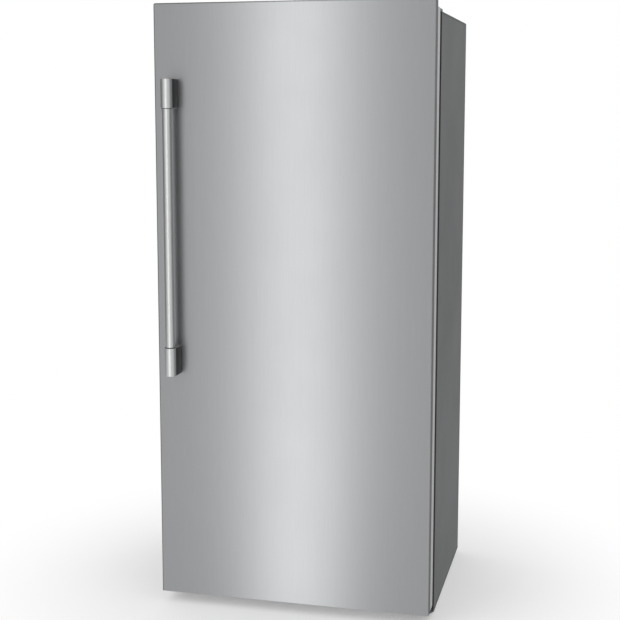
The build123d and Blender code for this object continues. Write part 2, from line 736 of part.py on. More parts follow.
# Shelf tracks and cantilever shelves
track_y = (room_back - track_depth, room_back)
with BuildPart() as shelf_tracks:
    for side in (-1, 1):
        middle = side * track_spread
        block((middle - track_width / 2, middle + track_width / 2), track_y, (duct_low, duct_high))
        with BuildSketch(front_plane(room_back - track_depth / 2)):
            with Locations((middle, (duct_low + duct_high) / 2)):
                with GridLocations(0, slot_pitch, 1, 33):
                    Rectangle(arm_sheet + 1.5, slot_pitch / 2)
        extrude(amount=track_depth / 2, mode=Mode.SUBTRACT)
save(shelf_tracks.part, "shelf_tracks")

shelf_y = (bay_y, duct_y - 8)
pane_x = (-shelf_half + pane_inset, shelf_half - pane_inset)
pane_y = (shelf_y[0] + pane_inset, shelf_y[1] - pane_inset)
well_x = (-shelf_half + shelf_rim, shelf_half - shelf_rim)
well_y = (shelf_y[0] + shelf_rim, shelf_y[1] - shelf_rim)
with BuildPart() as shelf_frames:
    for z in shelf_heights:
        block((-shelf_half, shelf_half), shelf_y, (z - rim_drop, z + glass + loose))
        top_frame = shelf_frames.edges().filter_by(lambda edge: edge.center().Z > z - rim_drop - loose)
        fillet(top_frame.filter_by(Axis.X).group_by(Axis.Y)[0], 3)
        block(pane_x, pane_y, (z, z + glass + loose), Mode.SUBTRACT)
        block(well_x, well_y, (z - rim_drop, z), Mode.SUBTRACT)
        for side in (-1, 1):
            with BuildSketch(Plane.YZ.offset(side * track_spread - arm_sheet / 2)):
                with BuildLine():
                    Polyline(
                        (well_y[0] - 6, z - rim_drop - running),
                        (well_y[0] - 6, z - rim_drop - 8),
                        (shelf_y[1] - 40, z - arm_drop),
                        (track_y[0], z - arm_drop),
                        (track_y[0], z - rim_drop - running),
                        close=True,
                    )
                make_face()
            extrude(amount=arm_sheet)
save(shelf_frames.part, "shelf_frames")

# Crisper lid, the rails under it, its two drawers and their humidity slides
lid_half = room_half - 2
lid_y = (bay_y, room_back - 24)
lid_z = (crisper_top, lid_top)
lid_pane_x = (-lid_half + 16, lid_half - 16)
lid_pane_y = (lid_y[0] + 18, lid_y[1] - 16)
rail_foot = (crisper_top - 10, crisper_top - 5)
crisper_half = lid_half - 18
crisper_run = (lid_y[0] + fascia + 4, lid_y[1] - 16)
slot_half = slide_tongue + slide_travel + gap
slot_z = (crisper_top + 6, crisper_top + 12)
with BuildPart() as crisper_frame:
    block((-lid_half, lid_half), lid_y, lid_z)
    block(lid_pane_x, lid_pane_y, (lid_z[1] - glass, lid_z[1]), Mode.SUBTRACT)
    block((-lid_half + 34, lid_half - 34), (lid_y[0] + 34, lid_y[1] - 32), lid_z, Mode.SUBTRACT)
    for side in (-1, 1):
        slot_x = (side * slide_x - slot_half, side * slide_x + slot_half)
        block(slot_x, (lid_y[0], lid_y[0] + 5), slot_z, Mode.SUBTRACT)
save(crisper_frame.part, "crisper_frame")

with BuildPart() as crisper_rails:
    block((-stem, stem), crisper_run, (rail_foot[0], lid_z[0]))
    block((-stem - crisper_rim + loose, stem + crisper_rim - loose), crisper_run, rail_foot)
    for side in (-1, 1):
        stem_x = (side * (crisper_half + gap), side * (crisper_half + 4))
        block(stem_x, crisper_run, (rail_foot[0], lid_z[0]))
        block((side * (crisper_half - crisper_rim + loose), stem_x[1]), crisper_run, rail_foot)
save(crisper_rails.part, "crisper_rails")

with BuildPart() as shelf_glass:
    for z in shelf_heights:
        block(pane_x, pane_y, (z, z + glass))
    block(lid_pane_x, lid_pane_y, (lid_z[1] - glass, lid_z[1]))
save(shelf_glass.part, "shelf_glass")

tub_z = (crisper_top - 1.5 - crisper_tall, crisper_top - 1.5)
tub_y = (lid_y[0] + 2, lid_y[1] - 18)
tub_middle = (crisper_half + stem + gap) / 2
tub_half = (crisper_half - stem - gap) / 2
rim_z = (rail_foot[1] + gap, rail_foot[1] + gap + tub_wall)
for side, name in ((-1, "left"), (1, "right")):
    with BuildPart() as crisper:
        middle = side * tub_middle
        add(bowl(middle, tub_half - crisper_rim, tub_y, tub_z))
        block((middle - tub_half, middle + tub_half), (crisper_run[0] + loose, tub_y[1]), rim_z)
        front_half = tub_half - loose
        block((middle - front_half, middle + front_half), (lid_y[0], lid_y[0] + fascia), tub_z)
        add(bowl(middle, tub_half - crisper_rim, tub_y, tub_z, tub_wall), mode=Mode.SUBTRACT)
        with BuildSketch(front_plane(lid_y[0] + grip_deep)):
            with Locations((middle, tub_z[1] - 1.2 * grip_tall)):
                SlotOverall(150, grip_tall)
        extrude(amount=grip_deep, mode=Mode.SUBTRACT)
    save(crisper.part, f"crisper_{name}")

    with BuildPart() as slide:
        x = side * slide_x
        block((x - 13, x + 13), (lid_y[0] - 4, lid_y[0] - gap), (slot_z[0] - 2, slot_z[1] + 2))
        fillet(slide.faces().sort_by(Axis.Y)[0].edges(), 1.5)
        tongue_z = (slot_z[0] + gap, slot_z[1] - gap)
        block((x - slide_tongue, x + slide_tongue), (lid_y[0] - gap, lid_y[0] + 4), tongue_z)
    save(slide.part, f"humidity_slide_{name}")

# Full-width drawer in front of the step, on a rail at each wall
wide_half = room_half - 19
wide_y = (bay_y, step_y - 10)
wide_z = (wide_low, wide_low + wide_tall)
wide_run = (wide_y[0] + fascia + 4, wide_y[1])
wide_rail_z = (wide_low + wide_rail_lift, wide_low + wide_rail_lift + 6)
wide_tub = wide_half - 10
with BuildPart() as drawer_rails:
    for side in (-1, 1):
        block((side * (wide_tub + loose), side * room_half), wide_run, wide_rail_z)
        block((side * (wide_half + 2), side * room_half), wide_run, (wide_rail_z[0], wide_rail_z[1] + 12))
save(drawer_rails.part, "drawer_rails")

with BuildPart() as wide_drawer:
    add(bowl(0, wide_tub, (wide_y[0] + 2, wide_y[1]), wide_z))
    flange_z = (wide_rail_z[1] + gap, wide_rail_z[1] + gap + 3)
    block((-wide_half, wide_half), (wide_y[0] + fascia, wide_y[1]), flange_z)
    block((-wide_half, wide_half), (wide_y[0], wide_y[0] + fascia), wide_z)
    add(bowl(0, wide_tub, (wide_y[0] + 2, wide_y[1]), wide_z, tub_wall), mode=Mode.SUBTRACT)
    with BuildSketch(front_plane(wide_y[0] + grip_deep)):
        with Locations((0, wide_z[1] - 1.2 * grip_tall)):
            SlotOverall(220, grip_tall)
    extrude(amount=grip_deep, mode=Mode.SUBTRACT)
save(wide_drawer.part, "wide_drawer")

# Machine space at the bottom of the back
plate_z = (rail_z[0] + rail_sheet, rail_z[0] + 2 * rail_sheet)
plate_y = (machine_y + 8, back_y - 14)
compressor_y = (machine_y + back_y) / 2 - 2
with BuildPart() as compressor_plate:
    block((-axle_end, axle_end), (plate_y[0], roller_y - 16), plate_z)
    block((-axle_end + 6, axle_end - 6), plate_y, plate_z)
save(compressor_plate.part, "compressor_plate")

mount_z = (plate_z[1], plate_z[1] + mount_tall)
with BuildPart() as compressor_mounts:
    with Locations((compressor_x, compressor_y, (mount_z[0] + mount_z[1]) / 2)):
        with GridLocations(*mount_grid, 2, 2):
            Cylinder(9, mount_tall)
save(compressor_mounts.part, "compressor_mounts")

compressor_z = (mount_z[1], mount_z[1] + 6 + compressor_tall)
with BuildPart() as compressor:
    rod(compressor_x, compressor_y, compressor_z, compressor_radius)
    fillet(compressor.faces().sort_by(Axis.Z)[-1].edges(), 30)
    seam_z = compressor_z[0] + 86
    rod(compressor_x, compressor_y, (seam_z, seam_z + 4), compressor_radius + 3)
    leg_x = (compressor_x - 78, compressor_x + 78)
    block(leg_x, (compressor_y - 54, compressor_y + 54), (mount_z[1], mount_z[1] + 3))
    relay_x = (compressor_x + compressor_radius - 12, compressor_x + compressor_radius + 18)
    block(relay_x, (compressor_y - 24, compressor_y + 24), (compressor_z[0] + 26, compressor_z[0] + 72))
save(compressor.part, "compressor")

tray_z = (compressor_z[1], compressor_z[1] + 30)
with BuildPart() as drip_tray:
    add(bowl(compressor_x, 66, (compressor_y - 62, compressor_y + 62), tray_z))
    add(bowl(compressor_x, 66, (compressor_y - 62, compressor_y + 62), tray_z, tub_wall), mode=Mode.SUBTRACT)
save(drip_tray.part, "drip_tray")

condenser_low = plate_z[1] + 24
condenser_y = (compressor_y - 48, compressor_y + 48)
bank_y = (compressor_y - 30, compressor_y + 30)
with BuildPart() as condenser_coil:
    with Locations(((condenser_x[0] + condenser_x[1]) / 2, compressor_y, plate_z[1] + 90)):
        with GridLocations(20, 0, 11, 1):
            Box(1, condenser_y[1] - condenser_y[0], 160)
    for x in (condenser_x[0] + 20, condenser_x[1] - 20):
        block((x - 2, x + 2), condenser_y, (plate_z[1], plate_z[1] + 170))
    for y in bank_y:
        points = rows_of_tube(condenser_x, y, condenser_low, condenser_pitch, condenser_rows)
        add(tube(points, condenser_pitch * 0.49, tube_radius))
save(condenser_coil.part, "condenser_coil")

fan_z = plate_z[1] + fan_lift
motor_x = (fan_x - 38, fan_x - 16)
with BuildPart() as condenser_fan_motor:
    rod(motor_x, compressor_y, fan_z, 24)
    rod((motor_x[1], fan_x + 12), compressor_y, fan_z, 2.5)
    block((motor_x[0], motor_x[0] + 3), (compressor_y - 12, compressor_y + 12), (plate_z[1], fan_z))
    block(motor_x, (compressor_y - 12, compressor_y + 12), (plate_z[1], plate_z[1] + 3))
save(condenser_fan_motor.part, "condenser_fan_motor")

with BuildPart() as condenser_fan:
    add(fan(fan_radius, 14, 16, 2.5 + running, Location((fan_x, compressor_y, fan_z), (0, 90, 0))))
save(condenser_fan.part, "condenser_fan")

low_run = plate_z[1] + 12
front_run = machine_y + 24
outlet = (compressor_x - compressor_radius, compressor_y, compressor_z[0] + 66)
with BuildPart() as refrigerant_tubes:
    points = [
        outlet,
        (outlet[0] - 60, outlet[1], outlet[2]),
        (outlet[0] - 60, outlet[1], low_run),
        (outlet[0] - 60, front_run, low_run),
        (condenser_x[0] - 12, front_run, low_run),
        (condenser_x[0] - 12, bank_y[0], low_run),
        (condenser_x[0] - 12, bank_y[0], condenser_low),
        (condenser_x[0], bank_y[0], condenser_low),
    ]
    add(tube(points, 5.5, tube_radius))
    rod((-60, 10), front_run, low_run, 9)
save(refrigerant_tubes.part, "refrigerant_tubes")

guard_y = (back_y - 6 - sheet, back_y - 6)
guard_half = inner_half - rail_width - gap
with BuildPart() as rear_cover:
    block((-guard_half, guard_half), guard_y, (rail_z[0], machine_top - sheet))
    block((-inner_half, inner_half), guard_y, (rail_z[1] + gap, machine_top - sheet))
    with BuildSketch(front_plane(guard_y[1])):
        with Locations((60, (rail_z[0] + machine_top) / 2)):
            with GridLocations(56, 22, 9, 7):
                SlotOverall(44, 8)
    extrude(amount=sheet, mode=Mode.SUBTRACT)
save(rear_cover.part, "rear_cover")

gland = (-330, 90)
with BuildPart() as cord_gland:
    rod(gland[0], (guard_y[1], guard_y[1] + 2), gland[1], 15)
    rod(gland[0], (guard_y[1], back_y), gland[1], 10)
    rod(gland[0], (guard_y[1], back_y), gland[1], 4, Mode.SUBTRACT)
save(cord_gland.part, "cord_gland")
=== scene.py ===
"""A tall single-door refrigerator: finishes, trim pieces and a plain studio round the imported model."""

import json
import math

import bmesh
import bpy
from bpy.props import FloatProperty, FloatVectorProperty, PointerProperty
from bpy.types import NodeSocket, Operator, Panel, PropertyGroup
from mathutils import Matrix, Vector


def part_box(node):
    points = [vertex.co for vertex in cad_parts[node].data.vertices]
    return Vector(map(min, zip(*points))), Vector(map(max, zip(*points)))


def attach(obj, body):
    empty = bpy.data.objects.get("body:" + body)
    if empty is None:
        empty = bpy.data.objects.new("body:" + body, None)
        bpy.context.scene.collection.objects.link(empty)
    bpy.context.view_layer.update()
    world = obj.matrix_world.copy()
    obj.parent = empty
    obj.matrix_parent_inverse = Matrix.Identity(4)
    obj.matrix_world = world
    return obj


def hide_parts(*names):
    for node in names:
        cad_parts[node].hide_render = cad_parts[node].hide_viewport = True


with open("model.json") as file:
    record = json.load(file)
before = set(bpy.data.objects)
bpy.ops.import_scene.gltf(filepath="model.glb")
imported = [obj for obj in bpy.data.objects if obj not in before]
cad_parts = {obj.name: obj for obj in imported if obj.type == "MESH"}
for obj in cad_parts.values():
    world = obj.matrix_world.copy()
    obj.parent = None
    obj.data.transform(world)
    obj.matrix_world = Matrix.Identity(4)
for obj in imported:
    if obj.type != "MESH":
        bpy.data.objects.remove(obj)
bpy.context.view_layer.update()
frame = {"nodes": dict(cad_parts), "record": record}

bl_info = {
    "name": "Single-door refrigerator",
    "version": (1, 0, 0),
    "blender": (4, 5, 0),
    "location": "3D View > Sidebar > Refrigerator",
    "description": "Finishes, trim and studio for a tall refrigerator with a brushed steel door",
    "category": "Object",
}

MM = 0.001
WHITE = (1.0, 1.0, 1.0, 1.0)
DUST = (0.34, 0.32, 0.29)
# The grey that rubbed edges go towards, and how far they go
RUBBED_GREY, RUBBED_SHARE = 0.75, 0.35
# Most of a noise lies between these values
NOISE_RANGE = (0.25, 0.75)
# A length that reaches past every side of the object
FAR_AWAY = 9.0
BRACKET_TALL = 85.0 * MM
GRIP_TALL = 20.0 * MM
BIN_BOTTOMS = (0.190, 0.480, 0.760, 1.040)

# Sideways and upward shift of the camera's picture, as shares of its size
CAMERA_SHIFT = (0.0014, -0.06)
# The soft band of light in the door: where it starts at the door's foot and where it turns upright
BAND_START, BAND_TURN = (0.014, -0.310), (-0.296, -1.500)
DOOR_FACE = -0.302
# How far the band leans to the side per metre away from the door, its width, and half its cards' width
BAND_LEAN, BAND_SPREAD, BAND_HALF = -0.2587, 0.175, 0.7
# The band's brightness at the door and its growth per metre away
BAND_BASE, BAND_GROWTH = 0.94, 0.75


def colour(name, description, value):
    """A colour that a user can set, in linear light."""
    return FloatVectorProperty(
        name=name, description=description, subtype="COLOR", size=3, min=0.0, max=1.0, default=value
    )


def length(name, description, value):
    """A length that a user can set, in metres."""
    return FloatProperty(
        name=name, description=description, unit="LENGTH", min=0.0, default=value, precision=4
    )


def angle(name, description, degrees):
    """An angle that a user can set."""
    return FloatProperty(
        name=name, description=description, subtype="ANGLE", default=math.radians(degrees)
    )


def number(name, description, value, high=10.0):
    """A plain number that a user can set."""
    return FloatProperty(name=name, description=description, min=0.0, max=high, default=value)


class RefrigeratorFinishes(PropertyGroup):
    """Colours of the object's finishes"""

    steel: colour("Door steel", "Brushed stainless steel of the door's tray", (0.296, 0.302, 0.307))
    handle: colour("Handle steel", "Satin steel of the bar and its brackets", (0.485, 0.49, 0.49))
    casing: colour("Casing paint", "Grey paint of the sides and the roof", (0.104, 0.109, 0.110))
    zinc: colour("Zinc sheet", "Galvanised sheet at the back and underneath", (0.42, 0.43, 0.44))
    door_frame: colour("Door frame", "Grey plastic frame behind the steel tray", (0.36, 0.36, 0.365))
    # Painted reflection: the bands on the tray's sides are dark to stand in for the dark surroundings those
    # steel sides reflect
    edge_band: colour("Edge band", "Dark band along the tray's sides", (0.10, 0.10, 0.105))
    liner: colour("Liner white", "Moulded white liner and its covers", (0.80, 0.81, 0.815))
    gasket: colour("Gasket grey", "Dark soft seal of the door", (0.06, 0.06, 0.062))
    foam: colour("Foam", "Insulating foam between casing and liner", (0.78, 0.68, 0.42))
    black_metal: colour("Black paint", "Black painted hinges and compressor", (0.018, 0.018, 0.019))
    black_plastic: colour("Black plastic", "Black moulded plastic", (0.026, 0.026, 0.028))
    grey_plastic: colour("Grey plastic", "Grey moulded plastic of the fan", (0.36, 0.37, 0.38))
    clear: colour("Clear plastic", "Clear plastic of bins and drawers", (0.93, 0.96, 0.98))
    glass: colour("Shelf glass", "Toughened glass of the shelves", (0.90, 0.965, 0.94))
    shelf_trim: colour("Shelf trim", "Light grey frames of the shelves", (0.62, 0.63, 0.64))
    lens: colour("Light lens", "Frosted lenses of the lights", (0.95, 0.95, 0.90))
    button: colour("Button grey", "Dark grey buttons and slides", (0.085, 0.086, 0.092))
    fins: colour("Fin aluminium", "Aluminium fins and trims", (0.66, 0.67, 0.68))
    copper: colour("Copper tube", "Copper tubes of the cooling circuit", (0.72, 0.36, 0.22))
    screw: colour("Screw steel", "Bright screws, studs and axles", (0.62, 0.62, 0.61))
    rubber: colour("Black rubber", "Rubber mounts of the compressor", (0.022, 0.022, 0.022))
    nylon: colour("White nylon", "Nylon rollers and hinge bushes", (0.74, 0.74, 0.71))


class RefrigeratorTrims(PropertyGroup):
    """Sizes of the trim pieces"""

    ring_width: length("Ring width", "Height of the dark ring at each bracket's mouth", 1.8 * MM)
    ring_radius: length("Ring radius", "Outer radius of the dark ring at each bracket", 15.4 * MM)
    # The plates on the brackets' sides carry a painted dark reflection
    shade_plate_thick: length("Cheek thickness", "Thickness of the plates on the brackets' sides", 0.6 * MM)
    # The tray's side bands carry a painted dark reflection
    shade_band_thick: length("Band thickness", "Thickness of the band on the tray's sides", 0.4 * MM)
    bin_trim: length("Bin trim height", "Height of the bands round the door bins", 24.0 * MM)
    trim_thick: length("Trim thickness", "Thickness of the bands on bins and shelves", 1.2 * MM)
    bezel_width: length("Bezel width", "Width of the rims round the drawers' grips", 3.0 * MM)
    screw_head: length("Screw head", "Diameter of the screw heads on the rear cover", 8.5 * MM)


class RefrigeratorStudio(PropertyGroup):
    """The camera, the lamps and the floor"""

    camera_place: FloatVectorProperty(
        name="Camera", description="Where the camera stands", subtype="TRANSLATION", unit="LENGTH",
        default=(0.9234, -3.8034, 1.5356),
    )
    camera_turn: angle("Turn", "Camera direction left of straight ahead", 13.95)
    camera_tilt: angle("Tilt", "Camera direction below the horizon", 7.68)
    lens: number("Lens", "Focal length on a 36 mm sensor, in millimetres", 72.48, 500.0)
    ambient: number("Ambient", "Strength of the white surroundings on matt surfaces", 0.84)
    key: number("Key lamp", "Radiance of the large soft lamp", 1.9, 50.0)
    strip: number("Band of light", "How much brighter than white the door's band of light is", 1.22, 50.0)
    fill: number("Fill lamp", "Radiance of the soft lamp behind the object", 0.9, 50.0)
    floor: colour("Floor", "Pale floor under the object", (0.93, 0.93, 0.93))


# Shader nodes --------------------------------------------------------------------------------------


def fill(tree, node, values):
    """Link a node's inputs to sockets, or set their plain values."""
    for key, value in values.items():
        if isinstance(value, NodeSocket):
            tree.links.new(value, node.inputs[key])
        else:
            node.inputs[key].default_value = value


def add_node(tree, kind, inputs=None, **settings):
    """Add one shader node, set its properties and fill its inputs."""
    made = tree.nodes.new("ShaderNode" + kind)
    for key, value in settings.items():
        setattr(made, key, value)
    fill(tree, made, inputs or {})
    return made


def calc(tree, operation, *values, clamp=False):
    """The result of a Math node."""
    return add_node(
        tree, "Math", dict(enumerate(values)), operation=operation, use_clamp=clamp
    ).outputs[0]


def vector_calc(tree, operation, *values):
    """The result of a Vector Math node: a number for a length or a dot product, else a vector."""
    made = add_node(tree, "VectorMath", dict(enumerate(values)), operation=operation)
    return made.outputs["Value" if operation in ("LENGTH", "DOT_PRODUCT") else "Vector"]


def spread(tree, value, source=(0.0, 1.0), target=(0.0, 1.0), kind="LINEAR"):
    """A value mapped from one range to another, and clamped to it."""
    inputs = {
        "Value": value, "From Min": source[0], "From Max": source[1], "To Min": target[0], "To Max": target[1]
    }
    return add_node(tree, "MapRange", inputs, interpolation_type=kind).outputs["Result"]


def noise(tree, place, scale, detail, roughness=0.5):
    """Cloudy noise over a place."""
    inputs = {"Vector": place, "Scale": scale, "Detail": detail, "Roughness": roughness}
    return add_node(tree, "TexNoise", inputs).outputs["Fac"]


def bump(tree, height, strength, distance, normal=None):
    """A normal that follows a height, on top of another normal where one is given."""
    inputs = {"Height": height, "Strength": strength, "Distance": distance}
    if normal is not None:
        inputs["Normal"] = normal
    return add_node(tree, "Bump", inputs).outputs[0]


def blend_colour(tree, factor, first, second, kind="MIX"):
    """Two colours blended by a factor."""
    made = add_node(tree, "Mix", {"Factor": factor}, data_type="RGBA", blend_type=kind)
    sockets = [s for s in made.inputs if s.type == "RGBA"]
    for socket, value in zip(sockets, (first, second)):
        if isinstance(value, NodeSocket):
            tree.links.new(value, socket)
        else:
            socket.default_value = (*value[:3], 1.0)
    return next(s for s in made.outputs if s.type == "RGBA")


def shade(base, amount):
    """A colour made lighter or darker by a share."""
    return tuple(min(1.0, c * amount) for c in base[:3])


# Shader effects ------------------------------------------------------------------------------------

PLACE = ("Vector", "Vector", None)


def effect(name, inputs, outputs):
    """A new node group with named sockets, and its input and output sockets."""
    group = bpy.data.node_groups.new(name, "ShaderNodeTree")
    for socket, kind, value in inputs:
        made = group.interface.new_socket(socket, in_out="INPUT", socket_type="NodeSocket" + kind)
        if value is not None:
            made.default_value = value
    for socket, kind in outputs:
        group.interface.new_socket(socket, in_out="OUTPUT", socket_type="NodeSocket" + kind)
    given, result = group.nodes.new("NodeGroupInput"), group.nodes.new("NodeGroupOutput")
    return group, given.outputs, result


def mottle_effect():
    """Slow cloudy variation from 0 to 1 over the surface."""
    group, given, result = effect("Mottle", [PLACE, ("Scale", "Float", 8.0)], [("Value", "Float")])
    cloud = noise(group, given["Vector"], given["Scale"], 4.0, 0.6)
    fill(group, result, {"Value": spread(group, cloud, NOISE_RANGE, kind="SMOOTHSTEP")})
    return group


def grain_effect():
    """Brushing: noise drawn out along one axis, as fine lines and as wider bands."""
    group, given, result = effect(
        "Brushed grain",
        [PLACE, ("Stretch", "Vector", (400.0, 400.0, 3.0))],
        [("Lines", "Float"), ("Bands", "Float")],
    )
    fine = vector_calc(group, "MULTIPLY", given["Vector"], given["Stretch"])
    wide = add_node(group, "VectorMath", {0: fine, "Scale": 0.16}, operation="SCALE").outputs[0]
    for place, socket, detail in ((fine, "Lines", 3.0), (wide, "Bands", 2.0)):
        fill(group, result, {socket: spread(group, noise(group, place, 1.0, detail), NOISE_RANGE)})
    return group


def skin_effect():
    """Height of a moulded or painted skin: small cells over a fine grain."""
    group, given, result = effect("Skin", [PLACE, ("Scale", "Float", 900.0)], [("Height", "Float")])
    cells = add_node(
        group, "TexVoronoi", {"Vector": given["Vector"], "Scale": given["Scale"]}, feature="SMOOTH_F1"
    )
    grain = noise(group, given["Vector"], given["Scale"], 2.0)
    fill(group, result, {"Height": calc(group, "ADD", cells.outputs["Distance"], grain)})
    return group


def wear_effect():
    """Rounded normals at edges, and a broken mask of where the edges are rubbed."""
    group, given, result = effect(
        "Edge wear", [PLACE, ("Radius", "Float", 0.0006)], [("Mask", "Float"), ("Normal", "Vector")]
    )
    rounded = add_node(group, "Bevel", {"Radius": given["Radius"]}, samples=4).outputs["Normal"]
    flat = add_node(group, "NewGeometry").outputs["Normal"]
    edge = spread(group, vector_calc(group, "DOT_PRODUCT", rounded, flat), (0.995, 0.90))
    broken = spread(group, noise(group, given["Vector"], 70.0, 3.0), (0.42, 0.62))
    fill(group, result, {"Mask": calc(group, "MULTIPLY", edge, broken), "Normal": rounded})
    return group


def dust_effect():
    """Mask of the dust that settles on faces that look up."""
    group, given, result = effect("Settled dust", [PLACE], [("Mask", "Float")])
    flat = add_node(group, "NewGeometry").outputs["Normal"]
    upward = spread(group, add_node(group, "SeparateXYZ", {0: flat}).outputs["Z"], (0.2, 0.9))
    cloudy = spread(group, noise(group, given["Vector"], 22.0, 5.0), (0.35, 0.7))
    fill(group, result, {"Mask": calc(group, "MULTIPLY", upward, cloudy)})
    return group


def painted_rim_shade_effect():
    """Mask of the painted shade along a sheet's edges: how near a place is to the sides of a box about a
    centre.
    """
    group, given, result = effect(
        "Rim",
        [PLACE, ("Centre", "Vector", None), ("Half", "Vector", None), ("Width", "Float", 0.004)],
        [("Mask", "Float")],
    )
    off = vector_calc(group, "SUBTRACT", given["Vector"], given["Centre"])
    past = vector_calc(group, "SUBTRACT", vector_calc(group, "ABSOLUTE", off), given["Half"])
    parts = add_node(group, "SeparateXYZ", {0: past}).outputs
    most = calc(group, "MAXIMUM", calc(group, "MAXIMUM", parts["X"], parts["Y"]), parts["Z"])
    near = spread(group, calc(group, "DIVIDE", most, given["Width"]), (-1.0, -0.3))
    fill(group, result, {"Mask": near})
    return group


EFFECTS = {
    "Mottle": mottle_effect,
    "Brushed grain": grain_effect,
    "Skin": skin_effect,
    "Edge wear": wear_effect,
    "Settled dust": dust_effect,
    "Rim": painted_rim_shade_effect,
}


def use_effect(tree, name, inputs):
    """Place a shared effect in a material, building it the first time. Gives its outputs."""
    made = tree.nodes.new("ShaderNodeGroup")
    made.node_tree = bpy.data.node_groups.get(name) or EFFECTS[name]()
    made.label = name
    fill(tree, made, inputs)
    return made.outputs


def mottled(tree, place, scale):
    """The mottling at one scale."""
    return use_effect(tree, "Mottle", {"Vector": place, "Scale": scale})["Value"]


def edge_wear(tree, place, radius):
    """The rounded normal and the mask of the rubbed edges."""
    return use_effect(tree, "Edge wear", {"Vector": place, "Radius": radius})


def with_painted_rim_shade(tree, place, tone, base, rim):
    """A tone with painted shade along a sheet's edges, where the setting is given: its node, sides, width and
    shade.

    The sides are one value for each axis: 0 for both ends, 1 or -1 for the high or the low end, and
    None for neither.
    """
    if not rim:
        return tone
    node, sides, width, dark = rim
    low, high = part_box(node)
    centre, half = list((low + high) / 2), list((high - low) / 2)
    for i, side in enumerate(sides):
        if side is None:
            half[i] = FAR_AWAY
        elif side:
            centre[i], half[i] = (high if side > 0 else low)[i] - side * FAR_AWAY, FAR_AWAY
    mask = use_effect(tree, "Rim", {"Vector": place, "Centre": centre, "Half": half, "Width": width})
    return blend_colour(tree, mask["Mask"], tone, shade(base, dark))


def dusted(tree, place, tone, gloss, amount):
    """A tone and its roughness with settled dust laid over them."""
    mask = use_effect(tree, "Settled dust", {"Vector": place})["Mask"]
    settled = calc(tree, "MULTIPLY", mask, amount)
    return blend_colour(tree, settled, tone, DUST), calc(tree, "ADD", gloss, settled, clamp=True)


# Finishes ------------------------------------------------------------------------------------------


def open_tree(holder, output):
    """The emptied node tree of a material or world, and the surface socket of its output."""
    holder.use_nodes = True
    tree = holder.node_tree
    tree.nodes.clear()
    return tree, add_node(tree, output).inputs["Surface"]


def new_material(name):
    """A material's node tree, its Principled shader and its object coordinates."""
    tree, surface = open_tree(bpy.data.materials.new(name), "OutputMaterial")
    shader = add_node(tree, "BsdfPrincipled")
    tree.links.new(shader.outputs[0], surface)
    return tree, shader, add_node(tree, "TexCoord").outputs["Object"]


def moulded(
    name, base, rough, specular=0.5, mottle=(9.0, 0.05), skin=(900.0, 0.03), wear=(0.0006, 0.4),
    dust=0.0, rim=None, patchy=0.05,
):
    """A paint, plastic or rubber finish with mottling, a fine skin, rubbed edges and dust.

    mottle and skin are a scale and a strength, wear is a radius and a strength, and patchy is how
    much the roughness varies.
    """
    tree, shader, place = new_material(name)
    cloud = mottled(tree, place, mottle[0])
    tone = blend_colour(tree, cloud, shade(base, 1.0 - mottle[1]), shade(base, 1.0 + mottle[1]))
    # Painted shade darkens the tone along the sheet's edges named in the finish's settings
    tone = with_painted_rim_shade(tree, place, tone, base, rim)
    edge = edge_wear(tree, place, wear[0])
    rubbed = calc(tree, "MULTIPLY", edge["Mask"], wear[1])
    worn = [c + (RUBBED_GREY - c) * RUBBED_SHARE for c in base]
    tone = blend_colour(tree, rubbed, tone, worn)
    gloss = spread(tree, cloud, target=(rough - patchy, rough + patchy))
    if dust:
        tone, gloss = dusted(tree, place, tone, gloss, dust)
    height = use_effect(tree, "Skin", {"Vector": place, "Scale": skin[0]})["Height"]
    normal = bump(tree, height, skin[1], 0.5 * MM, edge["Normal"])
    fill(tree, shader, {
        "Base Color": tone, "Roughness": gloss, "Normal": normal, "Specular IOR Level": specular
    })


def brushed(
    name, base, rough, stretch, anisotropy=0.0, lines=0.05, bands=0.04, smudge=0.03, depth=0.02,
    rim=None,
):
    """A brushed metal finish: fine lines, wider bands and faint handling marks.

    lines and bands are how much these vary the tone, smudge is how much the roughness varies, and
    depth is the strength of the lines' relief.
    """
    tree, shader, place = new_material(name)
    grain = use_effect(tree, "Brushed grain", {"Vector": place, "Stretch": stretch})
    fine = blend_colour(tree, grain["Lines"], shade(base, 1.0 - lines), shade(base, 1.0 + lines))
    wide = blend_colour(tree, grain["Bands"], (1.0 - bands,) * 3, (1.0 + bands,) * 3)
    # Painted shade darkens the tone along the sheet's edges named in the finish's settings
    tone = with_painted_rim_shade(tree, place, blend_colour(tree, 1.0, fine, wide, "MULTIPLY"), base, rim)
    handled = spread(tree, mottled(tree, place, 5.0), target=(rough - smudge, rough + smudge))
    streaked = spread(tree, grain["Lines"], target=(-smudge, smudge))
    edge = edge_wear(tree, place, 0.8 * MM)
    fill(tree, shader, {
        "Base Color": tone,
        "Roughness": calc(tree, "ADD", handled, streaked),
        "Normal": bump(tree, grain["Lines"], depth, 0.2 * MM, edge["Normal"]),
        "Metallic": 1.0,
        "Anisotropic": anisotropy,
    })
    if anisotropy:
        # A quarter turn from the level direction gives upright brushing
        level = add_node(tree, "Tangent", direction_type="RADIAL", axis="Z").outputs[0]
        fill(tree, shader, {"Tangent": level, "Anisotropic Rotation": 0.25})


